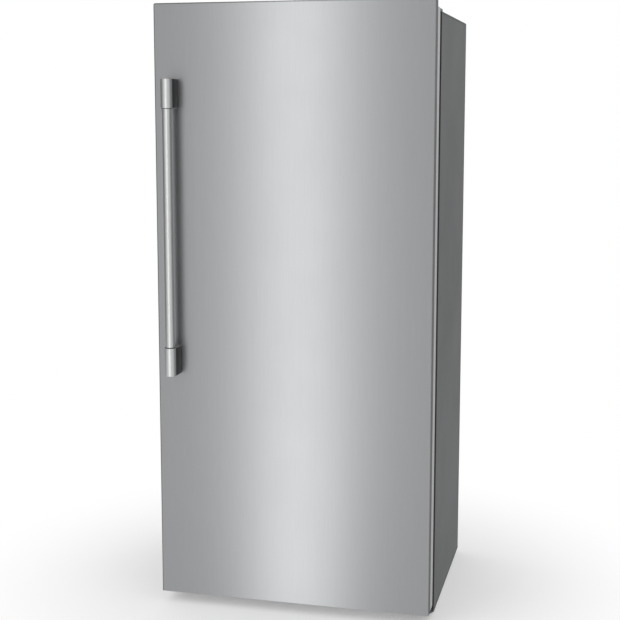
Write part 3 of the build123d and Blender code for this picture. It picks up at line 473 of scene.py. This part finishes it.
def galvanised(name, base, rim=None):
    """Zinc-coated sheet with its crystal spangle, and painted shade along its edges where the setting is
    given.
    """
    tree, shader, place = new_material(name)
    crystals = add_node(tree, "TexVoronoi", {"Vector": place, "Scale": 130.0}).outputs["Color"]
    shine = add_node(tree, "SeparateColor", {0: crystals}).outputs
    tone = blend_colour(tree, shine["Red"], shade(base, 0.90), shade(base, 1.08))
    clouded = calc(tree, "MULTIPLY", mottled(tree, place, 7.0), 0.25)
    tone = blend_colour(tree, clouded, tone, shade(base, 0.75))
    # Painted shade darkens the tone along the sheet's edges named in the finish's settings
    tone = with_painted_rim_shade(tree, place, tone, base, rim)
    tone, gloss = dusted(tree, place, tone, spread(tree, shine["Green"], target=(0.34, 0.5)), 0.35)
    edge = edge_wear(tree, place, 0.4 * MM)
    normal = bump(tree, shine["Blue"], 0.05, 0.2 * MM, edge["Normal"])
    fill(tree, shader, {"Base Color": tone, "Roughness": gloss, "Normal": normal, "Metallic": 0.85})


def see_through(name, base, rough, ior):
    """Clear plastic or glass, with faint scuffs."""
    tree, shader, place = new_material(name)
    cloud = mottled(tree, place, 14.0)
    fill(tree, shader, {
        "Base Color": blend_colour(tree, cloud, shade(base, 0.985), shade(base, 1.01)),
        "Roughness": spread(tree, cloud, target=(rough, rough + 0.035)),
        "Normal": edge_wear(tree, place, 0.6 * MM)["Normal"],
        "Transmission Weight": 1.0,
        "IOR": ior,
    })


def frosted_light(name, base, strength):
    """A ribbed, frosted lens that glows softly."""
    tree, shader, place = new_material(name)
    parts = add_node(tree, "SeparateXYZ", {0: place}).outputs
    along = calc(tree, "ADD", parts["X"], parts["Z"])
    ribs = calc(tree, "SINE", calc(tree, "MULTIPLY", along, 1500.0))
    tone = blend_colour(tree, spread(tree, ribs, (-1.0, 1.0)), shade(base, 0.86), base)
    fill(tree, shader, {
        "Base Color": tone,
        "Emission Color": tone,
        "Normal": bump(tree, ribs, 0.3, 0.3 * MM),
        "Roughness": 0.35,
        "Emission Strength": strength,
    })


def sprayed_foam(name, base):
    """Rigid foam with open cells."""
    tree, shader, place = new_material(name)
    cells = add_node(tree, "TexVoronoi", {"Vector": place, "Scale": 420.0}).outputs["Distance"]
    tone = blend_colour(tree, cells, shade(base, 0.72), base)
    fill(tree, shader, {"Base Color": tone, "Normal": bump(tree, cells, 0.5, MM), "Roughness": 0.9})


# For each of the record's material slots, and for each node and trim with a finish of its own: the
# maker, the colour's name, the share of its lightness that is kept, and the maker's settings
FINISHES = {
    "stainless": (brushed, "steel", 1.0, dict(
        rough=0.34, stretch=(2600.0, 2600.0, 12.0), anisotropy=0.6, bands=0.012, smudge=0.012,
        # Painted dark reflection along the tray's left and top edges, at its bends
        depth=0.01, rim=("door_panel", (-1, None, 1), 0.0045, 0.45),
    )),
    "handle_steel": (brushed, "handle", 1.0, dict(
        rough=0.40, stretch=(3000.0, 3000.0, 20.0), lines=0.02, bands=0.008, smudge=0.01, depth=0.004
    )),
    "casing_grey": (moulded, "casing", 1.0, dict(
        rough=0.62, specular=0.12, mottle=(3.0, 0.02), skin=(1400.0, 0.05), dust=0.03,
        # Painted shade along the casing's front edge in the gap beside the door, and along its back, top and
        # bottom hems
        rim=("outer_wrapper", (None, 0, 0), 0.012, 0.5),
    )),
    "zinc_sheet": (galvanised, "zinc", 1.0, {}),
    # Painted shade along the sides, top and foot of the rear sheets, where they meet their neighbours
    "rear_panel": (galvanised, "zinc", 1.0, dict(rim=("rear_panel", (0, None, 0), 0.006, 0.5))),
    "rear_cover": (galvanised, "zinc", 0.85, dict(rim=("rear_cover", (0, None, 0), 0.005, 0.5))),
    "base_rails": (galvanised, "zinc", 0.25, {}),
    "door_frame_grey": (moulded, "door_frame", 1.0, dict(rough=0.5, specular=0.35, skin=(1100.0, 0.04))),
    "edge_band": (moulded, "edge_band", 1.0, dict(rough=0.6, specular=0.12, skin=(1500.0, 0.03))),
    "liner_white": (moulded, "liner", 1.0, dict(
        rough=0.30, mottle=(2.5, 0.006), skin=(260.0, 0.04), wear=(0.0008, 0.05), patchy=0.01
    )),
    "gasket_grey": (moulded, "gasket", 1.0, dict(
        rough=0.62, specular=0.35, mottle=(20.0, 0.06), wear=(0.0004, 0.1)
    )),
    "foam": (sprayed_foam, "foam", 1.0, {}),
    "black_metal": (moulded, "black_metal", 1.0, dict(
        rough=0.45, specular=0.15, mottle=(16.0, 0.1), wear=(0.0006, 0.05), dust=0.06
    )),
    "black_plastic": (moulded, "black_plastic", 1.0, dict(
        rough=0.5, specular=0.25, skin=(700.0, 0.16), wear=(0.0006, 0.08), dust=0.03
    )),
    "grey_plastic": (moulded, "grey_plastic", 1.0, dict(rough=0.45, dust=0.2)),
    "clear_plastic": (see_through, "clear", 1.0, dict(rough=0.03, ior=1.49)),
    "shelf_glass": (see_through, "glass", 1.0, dict(rough=0.0, ior=1.52)),
    "shelf_trim": (moulded, "shelf_trim", 1.0, dict(rough=0.33, mottle=(4.0, 0.02), skin=(600.0, 0.03))),
    "lens": (frosted_light, "lens", 1.0, dict(strength=5.0)),
    "button_grey": (moulded, "button", 1.0, dict(rough=0.4, skin=(1600.0, 0.05), wear=(0.0004, 0.3))),
    "fin_aluminium": (brushed, "fins", 1.0, dict(rough=0.33, stretch=(700.0, 700.0, 14.0))),
    "copper_tube": (brushed, "copper", 1.0, dict(
        rough=0.3, stretch=(160.0, 160.0, 160.0), lines=0.12, smudge=0.06
    )),
    "bright_screw": (brushed, "screw", 1.0, dict(rough=0.25, stretch=(500.0, 500.0, 500.0), lines=0.08)),
    "black_rubber": (moulded, "rubber", 1.0, dict(rough=0.75, specular=0.3, wear=(0.0004, 0.05), dust=0.4)),
    "nylon_white": (moulded, "nylon", 1.0, dict(rough=0.42, wear=(0.0005, 0.05), dust=0.15)),
}
# Nodes that are finished apart from their slot
OWN_FINISHES = ("rear_panel", "rear_cover", "base_rails")


def finish(key):
    """The Blender material for one of the finishes, built the first time."""
    name = "finish_" + key
    if name not in bpy.data.materials:
        maker, base, kept, settings = FINISHES[key]
        maker(name, shade(getattr(bpy.context.scene.refrigerator_finishes, base), kept), **settings)
    return bpy.data.materials[name]


# Mesh pieces ---------------------------------------------------------------------------------------


def add_object(name, data):
    """A new object in the scene."""
    made = bpy.data.objects.new(name, data)
    bpy.context.scene.collection.objects.link(made)
    return made


def as_mesh(name, mesh):
    """Turn a bmesh into mesh data."""
    data = bpy.data.meshes.new(name)
    mesh.to_mesh(data)
    mesh.free()
    return data


def as_piece(name, mesh, key, body, replaces=()):
    """Turn a bmesh into an object with its finish, riding on its body."""
    bmesh.ops.recalc_face_normals(mesh, faces=mesh.faces)
    data = as_mesh(name, mesh)
    made = add_object(name, data)
    data.materials.append(finish(key))
    data.shade_smooth()
    data.set_sharp_from_angle(angle=math.radians(35))
    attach(made, body)
    if replaces:
        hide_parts(*replaces)


def add_block(mesh, low, high, edge=0.4 * MM, steps=2):
    """Add a bar with rounded edges, given by two corners."""
    made = bmesh.ops.create_cube(mesh, size=1.0)["verts"]
    for v in made:
        v.co = Vector((low[i] if v.co[i] < 0 else high[i]) for i in range(3))
    edges = {e for v in made for e in v.link_edges}
    bmesh.ops.bevel(
        mesh, geom=list(edges), offset=edge, segments=steps, profile=0.5, affect="EDGES"
    )


def join_rings(mesh, rings):
    """Add the faces between each ring of vertices and the next."""
    for a, b in zip(rings, rings[1:]):
        for i in range(len(a)):
            j = (i + 1) % len(a)
            mesh.faces.new((a[i], a[j], b[j], b[i]))


def add_turned(mesh, outline, place, axis, steps=48):
    """Add a turned shape, given by pairs of radius and height along the Y or Z axis. Gives its rings."""
    along, up = Vector((0, axis == "Y", axis == "Z")), Vector((0, axis == "Z", axis == "Y"))
    side = Vector((1, 0, 0))
    rings = []
    for radius, height in outline:
        centre = Vector(place) + along * height
        turns = [math.tau * i / steps for i in range(steps)]
        rings.append([
            mesh.verts.new(centre + side * radius * math.cos(t) + up * radius * math.sin(t)) for t in turns
        ])
    join_rings(mesh, rings)
    return rings


def add_sweep(mesh, rings):
    """Add a shape that goes once round a closed path, given by its sections."""
    made = [[mesh.verts.new(p) for p in ring] for ring in rings]
    join_rings(mesh, made + made[:1])


def add_strip(mesh, path, thickness, base, top, edge=0.3 * MM):
    """Add an upright band along an open path in plan, thickened to the path's left."""
    shape = [
        (0.0, base), (thickness - edge, base), (thickness, base + edge),
        (thickness, top - edge), (thickness - edge, top), (0.0, top),
    ]
    sections = []
    for i, point in enumerate(path):
        before, after = path[max(i - 1, 0)], path[min(i + 1, len(path) - 1)]
        run = Vector((after[0] - before[0], after[1] - before[1])).normalized()
        sections.append([
            mesh.verts.new((point[0] - run.y * across, point[1] + run.x * across, z)) for across, z in shape
        ])
    join_rings(mesh, sections)
    mesh.faces.new(sections[0])
    mesh.faces.new(sections[-1][::-1])


class BuildOperator(Operator):
    """Shared settings of the operators that build the model"""

    bl_options = {"REGISTER", "UNDO"}

    @property
    def trims(self):
        """The sizes of the trim pieces."""
        return bpy.context.scene.refrigerator_trims


def level_card(near, far, z):
    """Corners of a level card between two edges, each given by its ends in x and its y."""
    return (near[0], near[2], z), (near[1], near[2], z), (far[1], far[2], z), (far[0], far[2], z)


def upright_card(first, last, top):
    """Corners of an upright card between two places on the floor."""
    return (*first, 0.0), (*last, 0.0), (*last, top), (*first, top)


class REFRIGERATOR_OT_stage(BuildOperator):
    """Build the floor, the surroundings, the lamps and the camera"""

    bl_idname = "refrigerator.stage"
    bl_label = "Studio"

    def execute(self, context):
        studio = context.scene.refrigerator_studio
        self.make_camera(context, studio)
        self.make_world(context, studio)
        self.make_floor(studio)
        self.make_lamps(studio)
        return {"FINISHED"}

    def aim(self, made, place, ahead):
        """Place a camera or lamp and point it in a direction."""
        made.location = place
        made.rotation_mode = "QUATERNION"
        made.rotation_quaternion = ahead.to_track_quat("-Z", "Y")

    def make_camera(self, context, studio):
        """A camera at the photograph's viewing angle, looking slightly down."""
        data = bpy.data.cameras.new("camera")
        made = add_object("camera", data)
        turn, tilt = studio.camera_turn, studio.camera_tilt
        flat = math.cos(tilt)
        ahead = Vector((-math.sin(turn) * flat, math.cos(turn) * flat, -math.sin(tilt)))
        self.aim(made, studio.camera_place, ahead)
        data.sensor_width, data.lens = 36.0, studio.lens
        data.shift_x, data.shift_y = CAMERA_SHIFT
        data.clip_start, data.clip_end = 0.05, 200.0
        context.scene.camera = made

    def make_world(self, context, studio):
        """White surroundings, plain for the camera and for reflections and softer on matt surfaces."""
        world = bpy.data.worlds.new("surroundings")
        tree, surface = open_tree(world, "OutputWorld")
        strength = spread(tree, self.seen_rays(tree), target=(studio.ambient, 1.0))
        sky = add_node(tree, "Background", {"Color": WHITE, "Strength": strength})
        tree.links.new(sky.outputs[0], surface)
        context.scene.world = world
        context.scene.view_settings.view_transform = "Standard"

    def seen_rays(self, tree):
        """1 for camera, glossy and transmission rays, else 0."""
        rays = add_node(tree, "LightPath").outputs
        seen = calc(tree, "ADD", rays["Is Camera Ray"], rays["Is Glossy Ray"], clamp=True)
        return calc(tree, "ADD", seen, rays["Is Transmission Ray"], clamp=True)

    def make_floor(self, studio):
        """A wide pale floor that holds the shadow near the object and goes over into white."""
        mesh = bmesh.new()
        bmesh.ops.create_grid(mesh, x_segments=8, y_segments=8, size=40.0)
        data = as_mesh("floor", mesh)
        floor = add_object("floor", data)
        floor.location.z = -0.5 * MM
        made = bpy.data.materials.new("pale_floor")
        tree, surface = open_tree(made, "OutputMaterial")
        place = add_node(tree, "NewGeometry").outputs["Position"]
        cloud = mottled(tree, place, 3.0)
        tone = blend_colour(tree, cloud, shade(studio.floor, 0.99), shade(studio.floor, 1.01))
        matt = add_node(tree, "BsdfDiffuse", {"Color": tone})
        white = add_node(tree, "Emission", {"Color": WHITE, "Strength": 1.0})
        # The shadow fades out between these distances from the middle, and never shows in full
        far = spread(tree, vector_calc(tree, "LENGTH", place), (0.42, 1.25), (0.3, 1.0), "SMOOTHSTEP")
        share = calc(tree, "MULTIPLY", far, self.seen_rays(tree))
        glossy = add_node(tree, "LightPath").outputs["Is Glossy Ray"]
        share = calc(tree, "ADD", share, glossy, clamp=True)
        both = add_node(tree, "MixShader", {0: share, 1: matt.outputs[0], 2: white.outputs[0]})
        tree.links.new(both.outputs[0], surface)
        data.materials.append(made)

    def make_lamps(self, studio):
        """A large soft key, a soft fill behind, and cards for the reflections."""
        key = self.lamp("key_lamp", (-2.4, -3.2, 3.4), (0.0, -0.1, 1.0), 2.4, studio.key)
        key.visible_glossy = False
        self.lamp("fill_lamp", (2.6, 3.6, 2.6), (0.0, 0.2, 0.9), 2.2, studio.fill)
        # The band of light runs along the floor from the door's foot and then up
        near, far = ((x - BAND_HALF, x + BAND_HALF, y) for x, y in (BAND_START, BAND_TURN))
        self.card("band_on_floor", level_card(near, far, 2.0 * MM), band=studio.strip)
        upright = upright_card((far[0], far[2]), (far[1], far[2]), 4.2)
        self.card("band_upright", upright, band=studio.strip)
        # Darker cards shape the round steel and the bends of the door
        self.card("card_right", upright_card((3.2, -0.8), (3.2, 0.4), 2.8), 0.20)
        self.card("card_left", upright_card((-3.2, -2.3), (-3.2, 2.6), 2.8), 0.25)
        self.card("card_above", level_card((-2.6, 2.6, -2.8), (-2.6, 2.6, 2.4), 4.1), 0.25)

    def lamp(self, name, place, target, size, radiance):
        """A square lamp that faces a point and isn't seen itself."""
        data = bpy.data.lights.new(name, "AREA")
        data.shape = "RECTANGLE"
        data.size = data.size_y = size
        data.energy = math.pi * radiance * size * size
        made = add_object(name, data)
        self.aim(made, place, Vector(target) - Vector(place))
        made.visible_camera = False
        return made

    def card(self, name, corners, radiance=1.0, band=0.0):
        """A flat card that only reflections show, of one brightness or with the soft bright band."""
        data = bpy.data.meshes.new(name)
        data.from_pydata(corners, [], [(0, 1, 2, 3)])
        made = add_object(name, data)
        glow = bpy.data.materials.new(name)
        tree, surface = open_tree(glow, "OutputMaterial")
        level = self.band_level(tree, band) if band else radiance
        shader = add_node(tree, "Emission", {"Color": WHITE, "Strength": level})
        tree.links.new(shader.outputs[0], surface)
        data.materials.append(glow)
        for kind in ("camera", "diffuse", "transmission", "volume_scatter", "shadow"):
            setattr(made, "visible_" + kind, False)

    def band_level(self, tree, strength):
        """Plain white with a soft bell of more light across the band's middle line."""
        place = add_node(tree, "NewGeometry").outputs["Position"]
        parts = add_node(tree, "SeparateXYZ", {0: place}).outputs
        away = calc(tree, "SUBTRACT", DOOR_FACE, parts["Y"])
        middle = calc(tree, "MULTIPLY_ADD", away, BAND_LEAN, BAND_START[0])
        share = calc(tree, "DIVIDE", calc(tree, "SUBTRACT", parts["X"], middle), BAND_SPREAD)
        square = calc(tree, "MULTIPLY", share, share)
        bell = calc(tree, "EXPONENT", calc(tree, "MULTIPLY", square, -1.0))
        peak = calc(tree, "MULTIPLY_ADD", away, BAND_GROWTH * strength, BAND_BASE * strength)
        return calc(tree, "MULTIPLY_ADD", bell, peak, 1.0)


class REFRIGERATOR_OT_finish_solids(BuildOperator):
    """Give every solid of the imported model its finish"""

    bl_idname = "refrigerator.finish_solids"
    bl_label = "Finishes"

    def execute(self, context):
        for part in frame["record"]["subparts"]:
            node = frame["nodes"][part["node"]]
            key = part["node"] if part["node"] in OWN_FINISHES else part["material_slot"]
            for place in node.material_slots:
                place.material = finish(key)
        return {"FINISHED"}


class REFRIGERATOR_OT_handle_rings(BuildOperator):
    """Build the dark rings at the mouths of the handle's brackets"""

    bl_idname = "refrigerator.handle_rings"
    bl_label = "Handle rings"

    def execute(self, context):
        bar_low, bar_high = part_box("handle_bar")
        x, y = (bar_low.x + bar_high.x) / 2, (bar_low.y + bar_high.y) / 2
        low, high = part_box("handle_brackets")
        radius, wide = self.trims.ring_radius, self.trims.ring_width
        bite, edge = 0.2 * MM, 0.4 * MM
        bore = (bar_high.x - bar_low.x) / 2 - bite
        outline = [
            (bore, 0.0), (radius - edge, 0.0), (radius, edge), (radius, wide - edge),
            (radius - edge, wide), (bore, wide), (bore, 0.0),
        ]
        mesh = bmesh.new()
        for z, sign in ((low.z + BRACKET_TALL, 1), (high.z - BRACKET_TALL, -1)):
            add_turned(mesh, [(r, sign * h) for r, h in outline], (x, y, z), "Z")
        bmesh.ops.remove_doubles(mesh, verts=mesh.verts, dist=1e-7)
        as_piece("handle_rings", mesh, "black_plastic", "door")
        return {"FINISHED"}


class REFRIGERATOR_OT_bracket_shade_plates(BuildOperator):
    """Build dark plates on the flat sides of the handle's brackets, painting the dark reflection seen on
    those sides
    """

    bl_idname = "refrigerator.bracket_cheeks"
    bl_label = "Bracket shade plates"

    def execute(self, context):
        low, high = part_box("handle_brackets")
        thick, margin = self.trims.shade_plate_thick, 0.8 * MM
        # The plates start behind the bracket's round front
        front = low.y + (high.x - low.x) / 2 + 0.4 * MM
        mesh = bmesh.new()
        for z in (low.z, high.z - BRACKET_TALL):
            for x, out in ((low.x, -thick), (high.x, thick)):
                left, right = sorted((x - out / 2, x + out))
                add_block(
                    mesh, (left, front, z + margin),
                    (right, high.y - margin, z + BRACKET_TALL - margin), 0.25 * MM,
                )
        # Black plates painting the dark reflection on the brackets' flat sides
        as_piece("bracket_cheeks", mesh, "black_plastic", "door")
        return {"FINISHED"}


class REFRIGERATOR_OT_tray_side_shade_bands(BuildOperator):
    """Build dark bands along both sides of the door's steel tray, painting the dark reflection on those steel
    sides
    """

    bl_idname = "refrigerator.edge_bands"
    bl_label = "Tray side shade bands"

    def execute(self, context):
        low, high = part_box("door_panel")
        thick = self.trims.shade_band_thick
        # Gaps between the band and the tray's front, back, foot and top
        front, back, foot, top = 2.6 * MM, 0.3 * MM, 1.5 * MM, 5.2 * MM
        # These bands paint the dark reflection on the tray's steel sides
        mesh = bmesh.new()
        for x in (low.x, high.x):
            add_block(
                mesh, (x - thick, low.y + front, low.z + foot),
                (x + thick, high.y - back, high.z - top), 0.15 * MM, 1,
            )
        as_piece("edge_bands", mesh, "edge_band", "door")
        return {"FINISHED"}


class REFRIGERATOR_OT_door_seal(BuildOperator):
    """Build the folded magnetic seal round the door"""

    bl_idname = "refrigerator.door_seal"
    bl_label = "Door seal"

    def execute(self, context):
        low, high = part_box("door_gasket")
        # Millimetres in from the outer edge, and share of the depth towards the cabinet
        section = [
            (1.6, 0.0), (1.0, 0.12), (2.6, 0.25), (0.7, 0.40), (2.2, 0.56), (0.5, 0.68), (0.3, 0.92),
            (1.0, 1.0), (6.5, 0.985), (12.2, 1.0), (13.2, 0.92), (13.0, 0.70), (11.4, 0.60),
            (13.6, 0.48), (17.4, 0.40), (17.9, 0.30), (17.0, 0.24), (14.4, 0.26), (15.6, 0.0),
        ]
        # Each corner's x and z, each with the direction in from the edge
        corners = (
            (low.x, 1, low.z, 1), (high.x, -1, low.z, 1), (high.x, -1, high.z, -1), (low.x, 1, high.z, -1)
        )
        rings = [
            [
                (x + x_in * across * MM, low.y + share * (high.y - low.y), z + z_in * across * MM)
                for across, share in section
            ]
            for x, x_in, z, z_in in corners
        ]
        mesh = bmesh.new()
        add_sweep(mesh, rings)
        as_piece("door_seal", mesh, "gasket_grey", "door", replaces=("door_gasket",))
        return {"FINISHED"}


class REFRIGERATOR_OT_bin_trims(BuildOperator):
    """Build the bands round the door bins and on the dairy flap"""

    bl_idname = "refrigerator.bin_trims"
    bl_label = "Bin trims"

    def execute(self, context):
        low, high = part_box("door_bins")
        corner, straight, lip = 14.0 * MM, 28.0 * MM, 0.4 * MM
        thick, tall = self.trims.trim_thick, self.trims.bin_trim
        steps, end = 8, high.y - corner - straight
        path = [(high.x, end)]
        for start, x in ((0.0, high.x - corner), (math.pi / 2, low.x + corner)):
            for step in range(steps + 1):
                turn = start + math.radians(90.0 * step / steps)
                path.append((x + corner * math.cos(turn), high.y - corner + corner * math.sin(turn)))
        path.append((low.x, end))
        mesh = bmesh.new()
        for z in BIN_BOTTOMS:
            top = z + (high.z - BIN_BOTTOMS[-1]) + lip
            add_strip(mesh, path[::-1], thick, top - tall, top)
        as_piece("bin_trims", mesh, "fin_aluminium", "door")
        low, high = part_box("dairy_flap")
        mesh = bmesh.new()
        add_block(
            mesh, (low.x + 6 * MM, low.y + 12.6 * MM, high.z - 22 * MM),
            (high.x - 6 * MM, low.y + 13.6 * MM, high.z - 12 * MM),
        )
        as_piece("dairy_flap_trim", mesh, "fin_aluminium", "dairy_flap_body")
        return {"FINISHED"}


class REFRIGERATOR_OT_drawer_bezels(BuildOperator):
    """Build the raised rims round the drawers' grips"""

    bl_idname = "refrigerator.drawer_bezels"
    bl_label = "Drawer bezels"

    def execute(self, context):
        wide, steps, radius = self.trims.bezel_width, 48, GRIP_TALL / 2
        # Distance out from the grip's edge, and millimetres behind the drawer's front
        section = [
            (0.0, 0.5), (0.0, -0.9), (0.3 * MM, -1.2), (wide - 0.3 * MM, -1.2), (wide, -0.9), (wide, 0.5)
        ]
        for node, body, half in (
            ("crisper_left", "crisper_left_body", 75.0 * MM),
            ("crisper_right", "crisper_right_body", 75.0 * MM),
            ("wide_drawer", "wide_drawer_body", 110.0 * MM),
        ):
            low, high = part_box(node)
            middle, z = (low.x + high.x) / 2, high.z - 1.2 * GRIP_TALL
            rings = []
            for step in range(steps):
                turn = math.tau * (step + 0.5) / steps
                out = Vector((math.cos(turn), math.sin(turn)))
                x = middle + math.copysign(half - radius, out.x)
                rings.append([
                    (x + out.x * (radius + across), low.y + depth * MM, z + out.y * (radius + across))
                    for across, depth in section
                ])
            mesh = bmesh.new()
            add_sweep(mesh, rings)
            as_piece(node + "_bezel", mesh, "fin_aluminium", body)
        return {"FINISHED"}


class REFRIGERATOR_OT_shelf_trims(BuildOperator):
    """Build the aluminium strips along the front of the shelves"""

    bl_idname = "refrigerator.shelf_trims"
    bl_label = "Shelf trims"

    def execute(self, context):
        low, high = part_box("shelf_frames")
        margin, bite = 3 * MM, 0.2 * MM
        mesh = bmesh.new()
        for mount in frame["record"]["mounts"]:
            if mount["name"].startswith("shelf_"):
                top = mount["pos_m"][2]
                add_block(
                    mesh, (low.x + margin, low.y - self.trims.trim_thick, top - 12 * MM),
                    (high.x - margin, low.y + bite, top - 2.5 * MM),
                )
        as_piece("shelf_trims", mesh, "fin_aluminium", "cabinet")
        return {"FINISHED"}


class REFRIGERATOR_OT_rear_screws(BuildOperator):
    """Build the cross-head screws of the rear cover"""

    bl_idname = "refrigerator.rear_screws"
    bl_label = "Rear screws"

    def execute(self, context):
        cover_top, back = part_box("rear_cover")[1].z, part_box("rear_cover")[1].y
        radius, steps = self.trims.screw_head / 2, 24
        outline = [
            (radius, -0.3 * MM), (radius, 0.3 * MM), (radius * 0.93, 1.0 * MM),
            (radius * 0.72, 1.7 * MM), (radius * 0.52, 2.0 * MM), (radius * 0.40, 1.9 * MM),
            (radius * 0.16, 0.7 * MM), (0.01 * MM, 0.6 * MM),
        ]
        places = [(x, cover_top - 8 * MM) for x in (-0.40, -0.24, -0.08, 0.08, 0.24, 0.40)]
        places += [(x, z) for x in (-0.40, 0.40) for z in (0.085, 0.165)]
        mesh = bmesh.new()
        for x, z in places:
            rings = add_turned(mesh, outline, (x, back, z), "Y", steps)
            # The cross recess: the two rings inside the head's crest reach out four times round
            for ring in rings[5:7]:
                for i, v in enumerate(ring):
                    middle = Vector((x, v.co.y, z))
                    reach = 0.55 + 0.75 * abs(math.cos(2 * math.tau * i / steps))
                    v.co = middle + (v.co - middle) * reach
        as_piece("rear_screws", mesh, "bright_screw", "cabinet")
        return {"FINISHED"}


class REFRIGERATOR_OT_setting_lamps(BuildOperator):
    """Build the row of small indicator lamps beside the buttons"""

    bl_idname = "refrigerator.setting_lamps"
    bl_label = "Setting lamps"

    def execute(self, context):
        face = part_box("control_housing")[0].y
        low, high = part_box("button_colder")
        first, pitch, count = 72 * MM, 12 * MM, 5
        outline = [
            (2.2 * MM, 0.3 * MM), (2.2 * MM, -0.3 * MM), (1.7 * MM, -0.8 * MM), (0.9 * MM, -1.1 * MM),
            (0.01 * MM, -1.2 * MM),
        ]
        mesh = bmesh.new()
        for i in range(count):
            add_turned(mesh, outline, (first + pitch * i, face, (low.z + high.z) / 2), "Y", 20)
        as_piece("setting_lamps", mesh, "lens", "cabinet")
        return {"FINISHED"}


class REFRIGERATOR_PT_panel(Panel):
    """Lists the pieces and the settings"""

    bl_label = "Refrigerator"
    bl_space_type = "VIEW_3D"
    bl_region_type = "UI"
    bl_category = "Refrigerator"

    def draw(self, context):
        for step in STEPS:
            self.layout.operator(step.bl_idname)
        for name, kind in SETTINGS.items():
            box = self.layout.box()
            for key in kind.__annotations__:
                box.prop(getattr(context.scene, name), key)


STEPS = (
    REFRIGERATOR_OT_stage,
    REFRIGERATOR_OT_finish_solids,
    REFRIGERATOR_OT_handle_rings,
    REFRIGERATOR_OT_bracket_shade_plates,
    REFRIGERATOR_OT_tray_side_shade_bands,
    REFRIGERATOR_OT_door_seal,
    REFRIGERATOR_OT_bin_trims,
    REFRIGERATOR_OT_drawer_bezels,
    REFRIGERATOR_OT_shelf_trims,
    REFRIGERATOR_OT_rear_screws,
    REFRIGERATOR_OT_setting_lamps,
)
SETTINGS = {
    "refrigerator_finishes": RefrigeratorFinishes,
    "refrigerator_trims": RefrigeratorTrims,
    "refrigerator_studio": RefrigeratorStudio,
}
CLASSES = (*SETTINGS.values(), *STEPS, REFRIGERATOR_PT_panel)


def register():
    """Register the classes and their settings."""
    for made in CLASSES:
        bpy.utils.register_class(made)
    for name, kind in SETTINGS.items():
        setattr(bpy.types.Scene, name, PointerProperty(type=kind))


def unregister():
    """Remove the settings and the classes."""
    for name in SETTINGS:
        delattr(bpy.types.Scene, name)
    for made in reversed(CLASSES):
        bpy.utils.unregister_class(made)


def main():
    """Build everything in order."""
    register()
    for step in STEPS:
        group, name = step.bl_idname.split(".")
        getattr(getattr(bpy.ops, group), name)()


if __name__ == "__main__":
    main()
